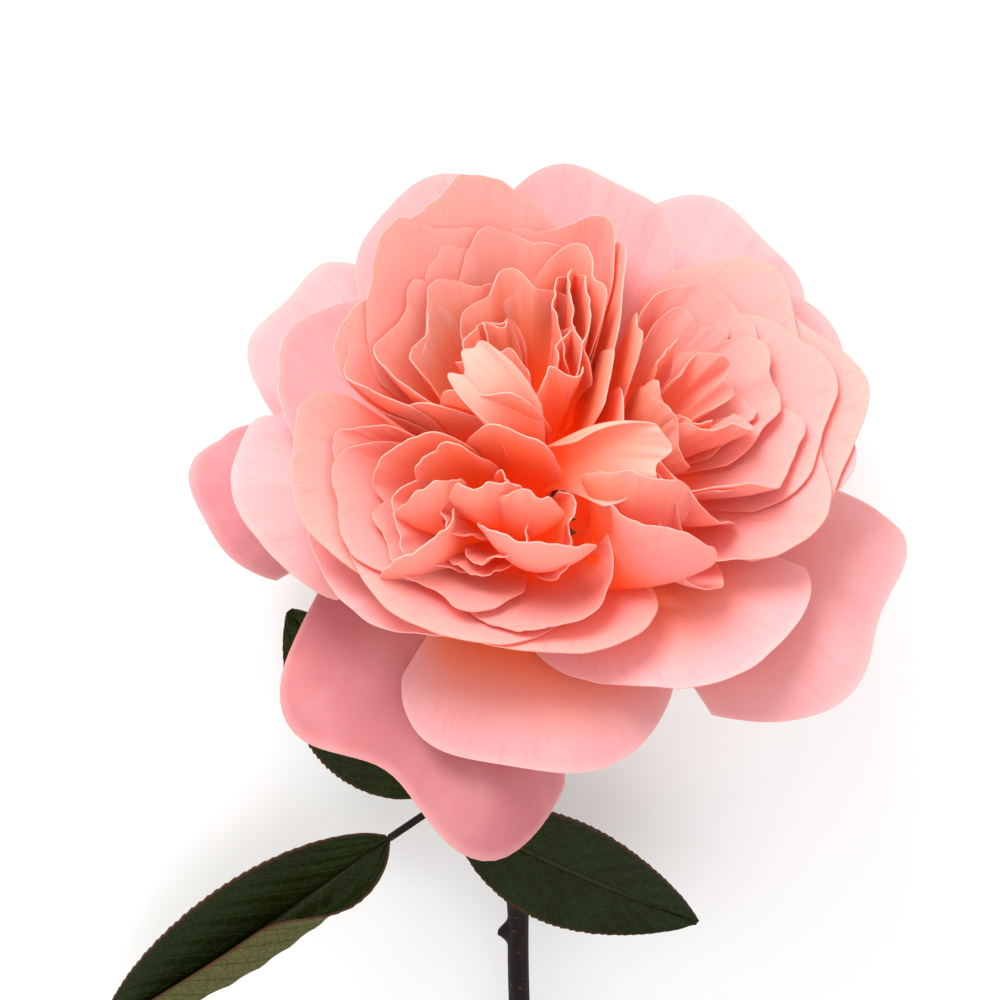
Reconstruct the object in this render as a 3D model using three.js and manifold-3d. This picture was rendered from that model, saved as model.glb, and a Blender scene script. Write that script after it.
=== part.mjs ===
// A cut garden rose lying on a table: a quartered, very double bloom on its hip, with five
// sepals, a stem with one prickle, and one leaf of three leaflets. Millimetres, +Z up.
// The stem runs back along -Y and the bloom looks up and forward, towards +Y.
import * as THREE from 'three';
import { mergeVertices } from 'three/addons/utils/BufferGeometryUtils.js';
import Module from 'manifold-3d';

// ---------------------------------------------------------------- driving sizes

const BLOOM_WIDTH = 100; // across the widest guard petals
const BLOOM_LEAN = 33; // degrees from level that the bloom's axis rises
const PETAL_THICKNESS = 0.25;
const FIRST_GAP = 0.5; // from a wall to the middle of the petal that lies on it
const LAYER_GAP = 0.62; // between the middles of two petals that press on each other

const HIP_LENGTH = 13;
const HIP_RADIUS = 5.4;
const SEPAL_LENGTH = 24;
const SEPAL_WIDTH = 6.5;

const STEM_LENGTH = 172; // along the table, from the hip to the cut
const STEM_RADIUS = 1.65;
const PRICKLE_LENGTH = 2.2;

const LEAFLET_LENGTH = 62; // the end leaflet
const LEAFLET_WIDTH = 23;
const SIDE_LEAFLET = 0.68; // a side leaflet's length, as a share of the end one
const LEAF_THICKNESS = 0.35;
const STALK_RADIUS = 0.75;

const CLEARANCE = 0.3; // between two pieces that meet

// ---------------------------------------------------------------- materials

function finish(colour, roughness) {
  return new THREE.MeshStandardMaterial({ color: colour, roughness, metalness: 0 });
}

const MATERIALS = {
  guard: finish(0xf2a6b0, 0.55),
  heart: finish(0xff9a72, 0.55),
  calyx: finish(0x55692f, 0.6),
  stem: finish(0x3a2a2c, 0.5),
  leaf: finish(0x2c3f1c, 0.45),
};

// ---------------------------------------------------------------- small maths

const rad = THREE.MathUtils.degToRad;
const smooth = (x) => THREE.MathUtils.smoothstep(x, 0, 1);

// A quadratic through three values, at 0, a half and 1.
function through(start, middle, end, x) {
  return start * (1 - x) * (1 - 2 * x) + middle * 4 * x * (1 - x) + end * x * (2 * x - 1);
}

// A smooth stand-in for max(0, x): it stays above nought and keeps the order of its values.
function press(x, softness) {
  return softness * Math.log1p(Math.exp(-Math.abs(x) / softness)) + Math.max(0, x);
}

// Walks a line that leans by lean(x) from the axis: how far out and how far up it gets.
const WALK_STEPS = 16;

function walk(lean, length, t) {
  const step = (length * t) / WALK_STEPS;
  let out = 0;
  let up = 0;
  for (let i = 0; i < WALK_STEPS; i += 1) {
    const angle = lean(((i + 0.5) / WALK_STEPS) * t);
    out += Math.sin(angle) * step;
    up += Math.cos(angle) * step;
  }
  return { out, up };
}

// ---------------------------------------------------------------- a thin closed sheet

const NUDGE = 1e-3;

// A box of thin cells whose every vertex moves onto the surface at(u, t), half a thickness to
// one side: u runs -1..1 across and t runs 0..1 along.
function sheet(at, across, along, thickness) {
  const geometry = new THREE.BoxGeometry(2, 1, 2, across, along, 1);
  const position = geometry.getAttribute('position');
  for (let i = 0; i < position.count; i += 1) {
    const u = position.getX(i);
    const t = position.getY(i) + 0.5;
    const side = position.getZ(i);
    const alongU = at(u + NUDGE, t).sub(at(u - NUDGE, t));
    const alongT = at(u, t + NUDGE).sub(at(u, t - NUDGE));
    const normal = alongU.cross(alongT).normalize();
    const point = at(u, t).addScaledVector(normal, (side * thickness) / 2);
    position.setXYZ(i, point.x, point.y, point.z);
  }
  geometry.computeVertexNormals();
  return geometry;
}

// ---------------------------------------------------------------- the bloom's layout

// The bloom's own frame has its origin on the receptacle, Z along its axis, and X to the right.
// Guard petals stand round that axis. Three rosettes, each round its own tilted axis, fill
// the cup inside them: heading and tilt aim an axis, offset moves its foot out, open is how far
// its outer petals lean, and reach is the length over which that lean closes again.
const ROSETTES = {
  upper: { heading: 112, tilt: 11, offset: 2.9, open: 46, reach: 38, waves: 8, phase: 30, ruffle: 0.9 },
  right: { heading: 10, tilt: 38, offset: 2.9, open: 52, reach: 42, waves: 7, phase: 80, ruffle: 0.6 },
  lower: { heading: 243, tilt: 33, offset: 2.9, open: 52, reach: 38, waves: 7, phase: 10, ruffle: 0.55 },
};

// How much of a rosette's opening each layer keeps, from the outermost in.
const LAYER_OPENING = [1, 0.84, 0.68, 0.53, 0.39, 0.26, 0.14];

const GUARD_RING = 7.6; // radius at which the outermost guard petals stand
const GUARD_RING_STEP = 0.5;
const GUARD_FOOT = -1.8;
const GUARD_FOOT_STEP = 0.6;
const GUARD_WAVES = 5;
const GUARD_PHASE = 20;
const GUARD_RUFFLE = 0.7;

const ROSETTE_RING = 2.3;
const ROSETTE_RING_STEP = 0.26;
const ROSETTE_FOOT = 0.6;
const ROSETTE_FOOT_STEP = 0.85;

const CLAW_SHARE = 0.55; // a petal's width at its foot, as a share of its widest
const CLAW_END = 0.7; // share of the length at which it has reached that width
const RIM_ROUNDING = 0.25;
const RUFFLE_FROM = 8; // mm from the foot at which the ruffles begin
const RUFFLE_OVER = 26; // mm over which they grow to their full height

// Guard petals, outermost first: layer, heading and half-width in degrees, length in mm, the
// lean at the foot, middle and rim, then how the rim rolls, twists, skews and swells in a lobe.
const GUARDS = [
  [0, 336, 31, 46, 66, 80, 100, 10, -5, -0.03, 0.03, 0.5],
  [0, 236, 39, 40.8, 73, 93, 108, 20, 33, 0.18, 0.085, 0.66],
  [0, 178, 21, 43.5, 58, 76, 100, 20, 0, 0, 0.02, 0],
  [0, 54, 26, 47, 58, 67, 58, 10, 0, 0, 0.02, 0.2],
  [1, 109, 25, 46, 51, 62, 57, 10, 0, 0, 0.02, 0],
  [0, 143, 23, 43, 54, 67, 76, 15, 0, 0, 0.02, 0.5],
  [1, 269, 34, 38, 62, 82, 122, 0, 0, 0, 0.02, 0.3],
  [1, 26, 30, 43, 54, 65, 56, 10, 0, 0, 0.02, 0],
  [2, 80, 27, 45, 40, 50, 38, 10, 0, 0, 0.02, 0.2],
  [1, 190, 27, 41, 48, 62, 76, 15, 0, 0, 0.02, 0.1],
  [2, 5, 27, 43, 50, 62, 54, 10, 0, 0, 0.03, 0.4],
  [2, 301, 34, 38, 46, 70, 84, 10, 0, 0.24, 0.02, 0.1],
  [2, 158, 28, 39, 44, 56, 48, 10, 0, 0, 0.02, 0],
  [2, 225, 34, 37, 44, 58, 62, 0, 0, 0, 0.02, 0.1],
];

// Rosette petals: layer, heading, half-width, length, how far the rim rolls out, lobe heading.
const HEARTS = {
  upper: [
    [0, 182, 42, 32, 4, 0],
    [0, 102, 37, 38, 4, 0.2],
    [0, 26, 38, 40, 4, 0.1],
    [1, 142, 44, 36, 4, 0.3],
    [1, 58, 38, 39, 4, 0],
    [1, 224, 36, 30, 10, 0.1],
    [2, 180, 46, 33, 4, 0.2],
    [2, 92, 40, 36, 4, 0.4],
    [3, 140, 48, 32, 4, 0.1],
    [3, 44, 46, 35, 4, 0.3],
    [4, 95, 60, 31, 4, 0],
    [5, 160, 80, 27, 0, 0.2],
  ],
  right: [
    [0, 0, 52, 40, 6, 0.1],
    [0, 270, 36, 34, 0, 0.4],
    [1, 45, 42, 37, 4, 0.2],
    [1, 318, 44, 38, 4, 0],
    [1, 218, 42, 33, 26, 0.3],
    [2, 5, 54, 38, 4, 0.2],
    [2, 258, 46, 34, 0, 0],
    [3, 322, 52, 35, 2, 0.4],
    [3, 78, 50, 34, 4, 0.1],
    [4, 230, 50, 29, 4, 0],
    [4, 20, 64, 33, 2, 0.3],
    [5, 300, 60, 30, 0, 0.1],
    [6, 60, 85, 29, 0, 0.2],
  ],
  lower: [
    [0, 188, 48, 34, 6, 0.1],
    [0, 292, 48, 32, 4, 0.2],
    [1, 240, 52, 34, 6, 0],
    [2, 185, 52, 33, 4, 0.3],
    [2, 300, 52, 31, 2, 0.1],
    [3, 140, 46, 29, 4, 0.2],
    [3, 240, 50, 31, 2, 0.4],
    [4, 198, 56, 30, 0, 0.1],
    [5, 300, 66, 28, 0, 0],
    [6, 190, 80, 27, 0, 0.2],
  ],
};

// ---------------------------------------------------------------- petals

const DRAWN_WIDTH = 100; // the bloom width that the tables above are written for
const LOBE = 0.03;

// The outline of a petal's rim: shorter at the sides, with one shallow lobe.
function rimLength(length, u, lobe, lobeAt) {
  const rounded = 1 - RIM_ROUNDING * Math.abs(u) ** 3;
  return length * rounded * (1 + lobe * Math.cos(2 * Math.PI * (u - lobeAt)));
}

function headingAt(heading, halfWidth, u, t) {
  const opened = CLAW_SHARE + (1 - CLAW_SHARE) * smooth(t / CLAW_END);
  return rad(heading) + u * rad(halfWidth) * opened;
}

// A point out from an axis and up along it, moved a little way square to its own lean.
function standing(out, up, lean, ruffle, angle) {
  const r = out + ruffle * Math.cos(lean);
  return new THREE.Vector3(r * Math.cos(angle), r * Math.sin(angle), up - ruffle * Math.sin(lean));
}

function ruffleAt(height, t, length, waves, phase, angle) {
  const grown = smooth((t * length - RUFFLE_FROM) / RUFFLE_OVER);
  return height * grown * Math.sin(waves * angle + rad(phase));
}

function guardSurface([layer, heading, halfWidth, length, foot, middle, rim, roll, twist, skew, lobe, lobeAt]) {
  return (u, t) => {
    const reach = rimLength(length, u, lobe, lobeAt) * (1 + skew * u);
    const lean = (x) => rad(through(foot, middle, rim, x) + x * x * (roll * u * u + twist * u));
    const { out, up } = walk(lean, reach, t);
    const angle = headingAt(heading, halfWidth, u, t);
    const ruffle = ruffleAt(GUARD_RUFFLE, t, reach, GUARD_WAVES, GUARD_PHASE, angle);
    const ring = GUARD_RING - GUARD_RING_STEP * layer;
    const rise = GUARD_FOOT + GUARD_FOOT_STEP * layer;
    return standing(ring + out, rise + up, lean(t), ruffle, angle);
  };
}

// The axis of a rosette: where its foot is, its direction, and the turn that tilts it.
function axisOf({ heading, tilt, offset }) {
  const out = new THREE.Vector3(Math.cos(rad(heading)), Math.sin(rad(heading)), 0);
  const hinge = new THREE.Vector3(-out.y, out.x, 0);
  return {
    foot: out.clone().multiplyScalar(offset),
    turn: new THREE.Quaternion().setFromAxisAngle(hinge, rad(tilt)),
    direction: new THREE.Vector3(0, 0, 1).applyAxisAngle(hinge, rad(tilt)),
  };
}

// The inside of the guard petals: how high the cup is at a distance and a heading from the
// bloom's axis, and how fast it opens there. Its far side is steeper than its near side, and
// its right side opens more than its left.
const CUP_FOOT = 5.6; // radius at which the cup's wall starts
const CUP_SLOPE = 0.92;
const CUP_SLOPE_FAR = 0.2;
const CUP_SLOPE_RIGHT = 0.16;
const CUP_FLARE = 0.016;
const CUP_FLARE_CHANGE = 0.012;

function cupAt(radius, angle) {
  const slope = CUP_SLOPE - CUP_SLOPE_FAR * Math.sin(angle) + CUP_SLOPE_RIGHT * Math.cos(angle);
  const flare = CUP_FLARE + CUP_FLARE_CHANGE * (Math.cos(angle) - Math.sin(angle));
  const beyond = radius - CUP_FOOT;
  const opening = Math.sqrt(slope * slope + 4 * flare * Math.max(0, beyond));
  const height = beyond > 0 ? (2 * beyond) / (slope + opening) : beyond / slope;
  return { height, opening };
}

// Petals of one rosette press against their neighbours and lie on the cup, each layer a little
// further from the wall than the one outside it. They ease onto a wall over a few tenths of a
// millimetre near their feet, and over more further out.
const SOFTNESS = 0.4;
const SOFTNESS_GROWTH = 0.05;

function pressed(point, name, layer) {
  const gap = FIRST_GAP + LAYER_GAP * layer;
  const softness = SOFTNESS + SOFTNESS_GROWTH * point.length();
  const own = axisOf(ROSETTES[name]);
  for (const other of Object.keys(ROSETTES)) {
    if (other === name) continue;
    const next = axisOf(ROSETTES[other]);
    const away = own.direction.clone().sub(next.direction).normalize();
    const between = own.foot.clone().add(next.foot).multiplyScalar(0.5);
    const depth = point.clone().sub(between).dot(away);
    point.addScaledVector(away, gap + press(depth - gap, softness) - depth);
  }
  const cup = cupAt(Math.hypot(point.x, point.y), Math.atan2(point.y, point.x));
  const bed = cup.height + (gap * Math.hypot(1, cup.opening)) / cup.opening;
  point.z = bed + press(point.z - bed, softness);
  return point;
}

const HEART_CLOSING = [1.15, 1, 0.25]; // a rosette petal's lean at its foot, middle and reach
const HEART_SQUEEZE = 0.2; // how much less it leans towards and away from the bloom's middle
const ROLL_FROM = 0.55; // share of the length at which its rim starts to roll out
const RUFFLED_SIDE = 10; // heading, in degrees, of the side with the highest ruffles

function heartSurface(name, [layer, heading, halfWidth, length, roll, lobeAt]) {
  const rosette = ROSETTES[name];
  const axis = axisOf(rosette);
  const opening = rosette.open * LAYER_OPENING[layer];
  return (u, t) => {
    const reach = rimLength(length, u, LOBE, lobeAt);
    const angle = headingAt(heading, halfWidth, u, t);
    const squeeze = 1 - HEART_SQUEEZE * Math.cos(angle - rad(rosette.heading)) ** 2;
    const lean = (x) => {
      const closing = through(...HEART_CLOSING, (x * reach) / rosette.reach);
      return rad(opening * closing * squeeze + roll * smooth((x - ROLL_FROM) / (1 - ROLL_FROM)));
    };
    const { out, up } = walk(lean, reach, t);
    const height = (rosette.ruffle / 2) * (1 + Math.cos((angle - rad(RUFFLED_SIDE)) / 2) ** 2);
    const ruffle = ruffleAt(height, t, reach, rosette.waves, rosette.phase, angle);
    const ring = ROSETTE_RING - ROSETTE_RING_STEP * layer;
    const rise = ROSETTE_FOOT + ROSETTE_FOOT_STEP * layer;
    const point = standing(ring + out, rise + up, lean(t), ruffle, angle);
    return pressed(point.applyQuaternion(axis.turn).add(axis.foot), name, layer);
  };
}

const PETAL_CELLS = 7;

function petal(name, surface, material) {
  const scale = BLOOM_WIDTH / DRAWN_WIDTH;
  const grown = (u, t) => surface(u, t).multiplyScalar(scale);
  const geometry = sheet(grown, PETAL_CELLS, PETAL_CELLS, PETAL_THICKNESS);
  const mesh = new THREE.Mesh(geometry, material);
  mesh.name = name;
  return mesh;
}

const numbered = (name, index) => `${name}_${String(index + 1).padStart(2, '0')}`;

function petals() {
  const made = GUARDS.map((row, i) => petal(numbered('guard', i), guardSurface(row), MATERIALS.guard));
  for (const [name, rows] of Object.entries(HEARTS)) {
    rows.forEach((row, i) => made.push(petal(numbered(name, i), heartSurface(name, row), MATERIALS.heart)));
  }
  return made;
}

// ---------------------------------------------------------------- hip and sepals

const HIP_TOP = -2.4; // the hip's flat top, just under the feet of the guard petals
const HIP_RIM = 7;
const HIP_RIM_DROP = 0.6; // the rim's chamfer, down
const HIP_RIM_INSET = 0.4; // and in
const NECK_RADIUS = 2.1;
const HIP_SIDES = 20;
const HIP_RINGS = 10;

function hip() {
  const bottom = HIP_TOP - HIP_LENGTH;
  const profile = new THREE.SplineCurve([
    new THREE.Vector2(NECK_RADIUS, bottom),
    new THREE.Vector2(HIP_RADIUS * 0.72, bottom + HIP_LENGTH * 0.28),
    new THREE.Vector2(HIP_RADIUS, HIP_TOP - HIP_LENGTH * 0.42),
    new THREE.Vector2(HIP_RADIUS * 1.02, HIP_TOP - HIP_LENGTH * 0.22),
    new THREE.Vector2(HIP_RIM, HIP_TOP - HIP_RIM_DROP),
  ]).getPoints(HIP_RINGS);
  const outline = [
    new THREE.Vector2(0, bottom),
    ...profile,
    new THREE.Vector2(HIP_RIM - HIP_RIM_INSET, HIP_TOP),
    new THREE.Vector2(0, HIP_TOP),
  ];
  const geometry = new THREE.LatheGeometry(outline, HIP_SIDES).rotateX(Math.PI / 2);
  const mesh = new THREE.Mesh(geometry, MATERIALS.calyx);
  mesh.name = 'hip';
  return mesh;
}

const SEPAL_COUNT = 5;
const FIRST_SEPAL = 54; // heading of the first sepal, in degrees
const SEPAL_LEAN = [92, 104, 118]; // at its foot, middle and tip
const SEPAL_DROP = 1; // from the hip's top to the sepals' feet
const SEPAL_TIP = 0.08; // width at the tip, as a share of the widest
const SEPAL_TAPER = 1.4;
const SEPAL_FOOT = 0.72;
const SEPAL_CUPPING = 0.1;

// A sepal springs from under the rim and lies back, narrowing to a drawn-out tip.
function sepal(index) {
  const heading = rad(FIRST_SEPAL + (index * 360) / SEPAL_COUNT);
  const out = new THREE.Vector3(Math.cos(heading), Math.sin(heading), 0);
  const side = new THREE.Vector3(-out.y, out.x, 0);
  const lean = (x) => rad(through(...SEPAL_LEAN, x));
  const at = (u, t) => {
    const walked = walk(lean, SEPAL_LENGTH, t);
    const narrowing = 1 - (1 - SEPAL_TIP) * Math.min(1, Math.max(0, t)) ** SEPAL_TAPER;
    const widening = SEPAL_FOOT + (1 - SEPAL_FOOT) * smooth(t * 5);
    const half = (SEPAL_WIDTH / 2) * narrowing * widening;
    const point = out.clone().multiplyScalar(HIP_RIM + CLEARANCE + walked.out);
    point.addScaledVector(side, u * half);
    point.z = HIP_TOP - SEPAL_DROP + walked.up + SEPAL_CUPPING * u * u * half;
    return point;
  };
  const mesh = new THREE.Mesh(sheet(at, 4, 8, LEAF_THICKNESS), MATERIALS.calyx);
  mesh.name = `sepal_${index + 1}`;
  return mesh;
}

// ---------------------------------------------------------------- the bloom, resting on the table

const bloom = new THREE.Group();
bloom.add(...petals(), hip());
for (let i = 0; i < SEPAL_COUNT; i += 1) bloom.add(sepal(i));
bloom.rotation.x = rad(BLOOM_LEAN - 90);
bloom.updateMatrixWorld(true);
const SEAT = -new THREE.Box3().setFromObject(bloom, true).min.z; // height of the receptacle
bloom.position.z = SEAT;

// ---------------------------------------------------------------- stem

const AXIS = new THREE.Vector3(0, Math.cos(rad(BLOOM_LEAN)), Math.sin(rad(BLOOM_LEAN)));
const NECK = AXIS.clone().multiplyScalar(HIP_TOP - HIP_LENGTH - CLEARANCE);
NECK.z += SEAT;
const CUT_HEIGHT = STEM_RADIUS * 1.2;

// A point of the stem's middle line: x, the share of the stem's run along the table, and the
// share of the neck's height that is left.
function stemPoint(x, run, height) {
  return new THREE.Vector3(x, NECK.y - STEM_LENGTH * run, CUT_HEIGHT + (NECK.z - CUT_HEIGHT) * height);
}

// The stem leaves the hip along the bloom's axis, bends level within a few centimetres, and
// comes down to rest on the table at its cut end.
const stemLine = new THREE.CatmullRomCurve3([
  NECK,
  NECK.clone().addScaledVector(AXIS, -5),
  stemPoint(-1.4, 0.09, 0.66),
  stemPoint(-2.6, 0.19, 0.58),
  stemPoint(-2.8, 0.31, 0.5),
  stemPoint(-2.6, 0.47, 0.38),
  stemPoint(0.5, 0.74, 0.18),
  stemPoint(4, 1, 0),
]);

const STEM_RINGS = 34;
const STEM_SIDES = 10;
const LEAF_JOINT = 0.185; // share of the stem's length at which the leaf joins
const BUD_JOINT = 0.345; // and at which an eye swells it
const JOINT_SWELLING = 0.25;
const JOINT_WIDTH = 0.02;
const PRICKLE_AT = 0.395;

const swelling = (t, at) => JOINT_SWELLING * Math.exp(-(((t - at) / JOINT_WIDTH) ** 2));

// The stem thickens a little towards its cut, and swells at its joints.
function stemRadius(t) {
  return STEM_RADIUS * (0.95 + 0.2 * t + swelling(t, LEAF_JOINT) + swelling(t, BUD_JOINT));
}

// A round bar along a curve, with a radius that changes on the way: a capped cylinder whose
// rings move onto the curve's frames.
function bar(curve, radiusAt, rings, sides) {
  const geometry = new THREE.CylinderGeometry(1, 1, 1, sides, rings);
  const frames = curve.computeFrenetFrames(rings);
  const position = geometry.getAttribute('position');
  for (let i = 0; i < position.count; i += 1) {
    const t = 0.5 - position.getY(i);
    const ring = Math.round(t * rings);
    const point = curve.getPointAt(t);
    const radius = radiusAt(t);
    point.addScaledVector(frames.normals[ring], position.getX(i) * radius);
    point.addScaledVector(frames.binormals[ring], position.getZ(i) * radius);
    position.setXYZ(i, point.x, point.y, point.z);
  }
  return geometry;
}

const wasm = await Module();
wasm.setup();

function solid(geometry) {
  const plain = geometry.clone();
  plain.deleteAttribute('normal');
  plain.deleteAttribute('uv');
  const merged = mergeVertices(plain, 1e-4);
  const vertProperties = merged.getAttribute('position').array;
  const triVerts = new Uint32Array(merged.index.array);
  return new wasm.Manifold(new wasm.Mesh({ numProp: 3, vertProperties, triVerts }));
}

function joined(first, second) {
  const mesh = solid(first).add(solid(second)).getMesh();
  const geometry = new THREE.BufferGeometry();
  geometry.setAttribute('position', new THREE.BufferAttribute(mesh.vertProperties, 3));
  geometry.setIndex(new THREE.BufferAttribute(mesh.triVerts, 1));
  geometry.computeVertexNormals();
  return geometry;
}

const PRICKLE_HALF_WIDTH = 0.7;
const PRICKLE_HALF_LENGTH = 1.5; // along the stem, at its foot
const PRICKLE_HOOK = 12; // degrees that it leans towards the cut

// The prickle is a flattened cone rooted inside the stem, on its left, hooked towards the cut.
function prickle() {
  const root = stemLine.getPointAt(PRICKLE_AT);
  const height = PRICKLE_LENGTH + STEM_RADIUS;
  const cone = new THREE.ConeGeometry(1, height, 8, 3);
  cone.translate(0, height / 2, 0);
  cone.scale(PRICKLE_HALF_LENGTH, 1, PRICKLE_HALF_WIDTH);
  cone.rotateZ(rad(90 + PRICKLE_HOOK));
  return cone.translate(root.x, root.y, root.z);
}

function stem() {
  const shaft = bar(stemLine, stemRadius, STEM_RINGS, STEM_SIDES);
  const mesh = new THREE.Mesh(joined(shaft, prickle()), MATERIALS.stem);
  mesh.name = 'stem';
  return mesh;
}

// ---------------------------------------------------------------- leaf

const from = (start, x, y, z) => start.clone().add(new THREE.Vector3(x, y, z));

const JOINT = stemLine.getPointAt(LEAF_JOINT);
const NODE = from(JOINT, -12.5, -10.2, 2.2); // where the side leaflets join
const END = from(NODE, -8.3, -7.2, -1.4); // foot of the end leaflet
const STALK_SWELLING = 1.35; // the stalk's radius at the stem, as a share of STALK_RADIUS
const STALK_TAPER = 0.55;
const STALK_RINGS = 8;
const STALK_SIDES = 8;

function stalk() {
  const away = NODE.clone().sub(JOINT).normalize();
  const standOff = stemRadius(LEAF_JOINT) + STALK_RADIUS * STALK_SWELLING + CLEARANCE;
  const start = JOINT.clone().addScaledVector(away, standOff);
  const finishAt = END.clone().addScaledVector(away, -CLEARANCE);
  const line = new THREE.CatmullRomCurve3([start, NODE, finishAt]);
  const radiusAt = (t) => STALK_RADIUS * (STALK_SWELLING - STALK_TAPER * smooth(t * 1.6));
  const mesh = new THREE.Mesh(bar(line, radiusAt, STALK_RINGS, STALK_SIDES), MATERIALS.stem);
  mesh.name = 'leaf_stalk';
  return mesh;
}

const LEAFLET_ENDS = 0.06; // width at a leaflet's foot and tip, as a share of its widest
const LEAFLET_WIDEST = 0.82; // below 1, the widest place is nearer the foot
const LEAFLET_FULLNESS = 0.72; // below 1, the sides bulge
const LEAFLET_CELLS = [12, 10];
const CURL_FROM = 0.2; // share of a half's width at which it starts to curl over
const CURL_OVER = 0.4; // and the share over which it does

// How far a leaflet's near half curls over, at a share of the leaflet's length.
const curlAt = (curl, t) => curl * (0.3 + 0.7 * smooth(t / 0.4));

// One leaflet, from its foot to its tip: bend is how far its middle line arches, fold how far
// its two halves rise along the midrib, and curl how far the near half rolls over towards it.
function leaflet(name, foot, tip, width, { bend, fold, curl }) {
  const along = tip.clone().sub(foot);
  const length = along.length();
  along.normalize();
  const side = new THREE.Vector3(0, 0, 1).cross(along).normalize();
  const up = along.clone().cross(side);
  const at = (u, t) => {
    const share = THREE.MathUtils.clamp(t, 0, 1);
    const outline = Math.sin(Math.PI * share ** LEAFLET_WIDEST) ** LEAFLET_FULLNESS;
    const half = (width / 2) * Math.max(LEAFLET_ENDS, outline);
    const closing = u > 0 ? curlAt(curl, share) : 0;
    const turnAt = (x) => rad(fold + closing * smooth((x - CURL_FROM) / CURL_OVER));
    const walked = walk(turnAt, half, Math.abs(u));
    const point = foot.clone().addScaledVector(along, t * length);
    point.addScaledVector(up, bend * Math.sin(Math.PI * t) + walked.out);
    return point.addScaledVector(side, Math.sign(u) * walked.up);
  };
  const mesh = new THREE.Mesh(sheet(at, ...LEAFLET_CELLS, LEAF_THICKNESS), MATERIALS.leaf);
  mesh.name = name;
  return mesh;
}

function leaf() {
  const sideLength = LEAFLET_LENGTH * SIDE_LEAFLET;
  const sideWidth = LEAFLET_WIDTH * 0.8;
  const towards = (start, x, y, z, length) =>
    start.clone().add(new THREE.Vector3(x, y, z).setLength(length));
  const rightFoot = from(NODE, 2.6, -2, 1);
  const leftFoot = from(NODE, -1.8, 2, 0.6);
  const endTip = towards(END, -52.8, -43.5, -7, LEAFLET_LENGTH);
  const rightTip = towards(rightFoot, 38.8, -19, 0.5, sideLength);
  const leftTip = towards(leftFoot, -19, 26, -4, sideLength * 0.86);
  return [
    stalk(),
    leaflet('leaflet_end', END, endTip, LEAFLET_WIDTH, { bend: 2, fold: 14, curl: 150 }),
    leaflet('leaflet_right', rightFoot, rightTip, sideWidth, { bend: 1.5, fold: 10, curl: 0 }),
    leaflet('leaflet_left', leftFoot, leftTip, sideWidth * 1.1, { bend: 1, fold: 8, curl: 0 }),
  ];
}

// ---------------------------------------------------------------- the whole rose

const rose = new THREE.Group();
rose.add(bloom, stem(), ...leaf());

// The origin goes under the middle of the whole rose, on the table.
rose.updateMatrixWorld(true);
const box = new THREE.Box3().setFromObject(rose, true);
const middle = box.getCenter(new THREE.Vector3());
rose.position.set(-middle.x, -middle.y, -box.min.z);

export default rose;
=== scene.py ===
"""A cut garden rose lying on a pale table: petals, stamens, hip, sepals, stem and one leaf.

Shapes are worked out in millimetres, in the bloom's own frame or beside it. The settings, the stage
and the finished meshes are in metres.
"""

import math
from collections import namedtuple

import bmesh
import bpy
import numpy as np
from bpy.props import FloatProperty, FloatVectorProperty, IntProperty, PointerProperty
from mathutils import Matrix, Vector


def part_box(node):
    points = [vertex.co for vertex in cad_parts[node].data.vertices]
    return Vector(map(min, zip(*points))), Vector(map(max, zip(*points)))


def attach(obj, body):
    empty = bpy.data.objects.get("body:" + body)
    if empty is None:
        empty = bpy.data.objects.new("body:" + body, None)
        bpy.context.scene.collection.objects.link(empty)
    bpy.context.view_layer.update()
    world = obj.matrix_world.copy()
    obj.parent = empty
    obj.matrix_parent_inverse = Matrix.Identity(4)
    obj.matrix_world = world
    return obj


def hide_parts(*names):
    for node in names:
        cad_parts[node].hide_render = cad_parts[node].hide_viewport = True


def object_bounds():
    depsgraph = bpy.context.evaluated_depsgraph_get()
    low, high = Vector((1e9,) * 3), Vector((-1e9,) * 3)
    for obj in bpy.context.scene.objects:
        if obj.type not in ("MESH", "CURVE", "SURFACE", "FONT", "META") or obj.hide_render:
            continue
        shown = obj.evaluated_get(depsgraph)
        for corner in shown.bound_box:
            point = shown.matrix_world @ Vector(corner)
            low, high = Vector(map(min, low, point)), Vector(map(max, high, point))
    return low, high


bl_info = {
    "name": "Cut rose",
    "version": (1, 0, 0),
    "blender": (4, 5, 0),
    "location": "3D View > Sidebar > Rose",
    "description": "Builds a cut garden rose petal by petal, with its stem and leaf",
    "category": "Add Mesh",
}

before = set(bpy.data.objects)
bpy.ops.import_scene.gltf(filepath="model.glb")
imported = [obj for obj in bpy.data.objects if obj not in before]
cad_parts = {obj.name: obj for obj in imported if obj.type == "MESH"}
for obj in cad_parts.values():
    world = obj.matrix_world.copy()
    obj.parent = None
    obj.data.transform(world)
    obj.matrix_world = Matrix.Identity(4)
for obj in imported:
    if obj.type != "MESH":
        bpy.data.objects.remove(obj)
CAD_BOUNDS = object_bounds()
MM = 0.001
ROOT = "root"

# ---- where the bloom sits

BLOOM_LEAN = 33  # degrees from level that the bloom's axis rises
HIP_TOP = -2.4
HIP_MOUTH = 6.6  # radius of the hip's flat top
HIP_RIM = 7.0
HIP_RIM_DROP = 0.6
HIP_LENGTH = 13
HIP_RADIUS = 5.4
NECK_RADIUS = 2.1

LEAN_COS = math.cos(math.radians(BLOOM_LEAN))
LEAN_SIN = math.sin(math.radians(BLOOM_LEAN))


def receptacle():
    """The middle of the bloom's foot, in metres, from the box of the hip below it."""
    low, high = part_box("hip")
    forward = HIP_MOUTH * LEAN_SIN + HIP_TOP * LEAN_COS
    above = HIP_RIM * LEAN_COS + (HIP_TOP - HIP_RIM_DROP) * LEAN_SIN
    return Vector(((low.x + high.x) / 2, high.y - forward * MM, high.z - above * MM))


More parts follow.
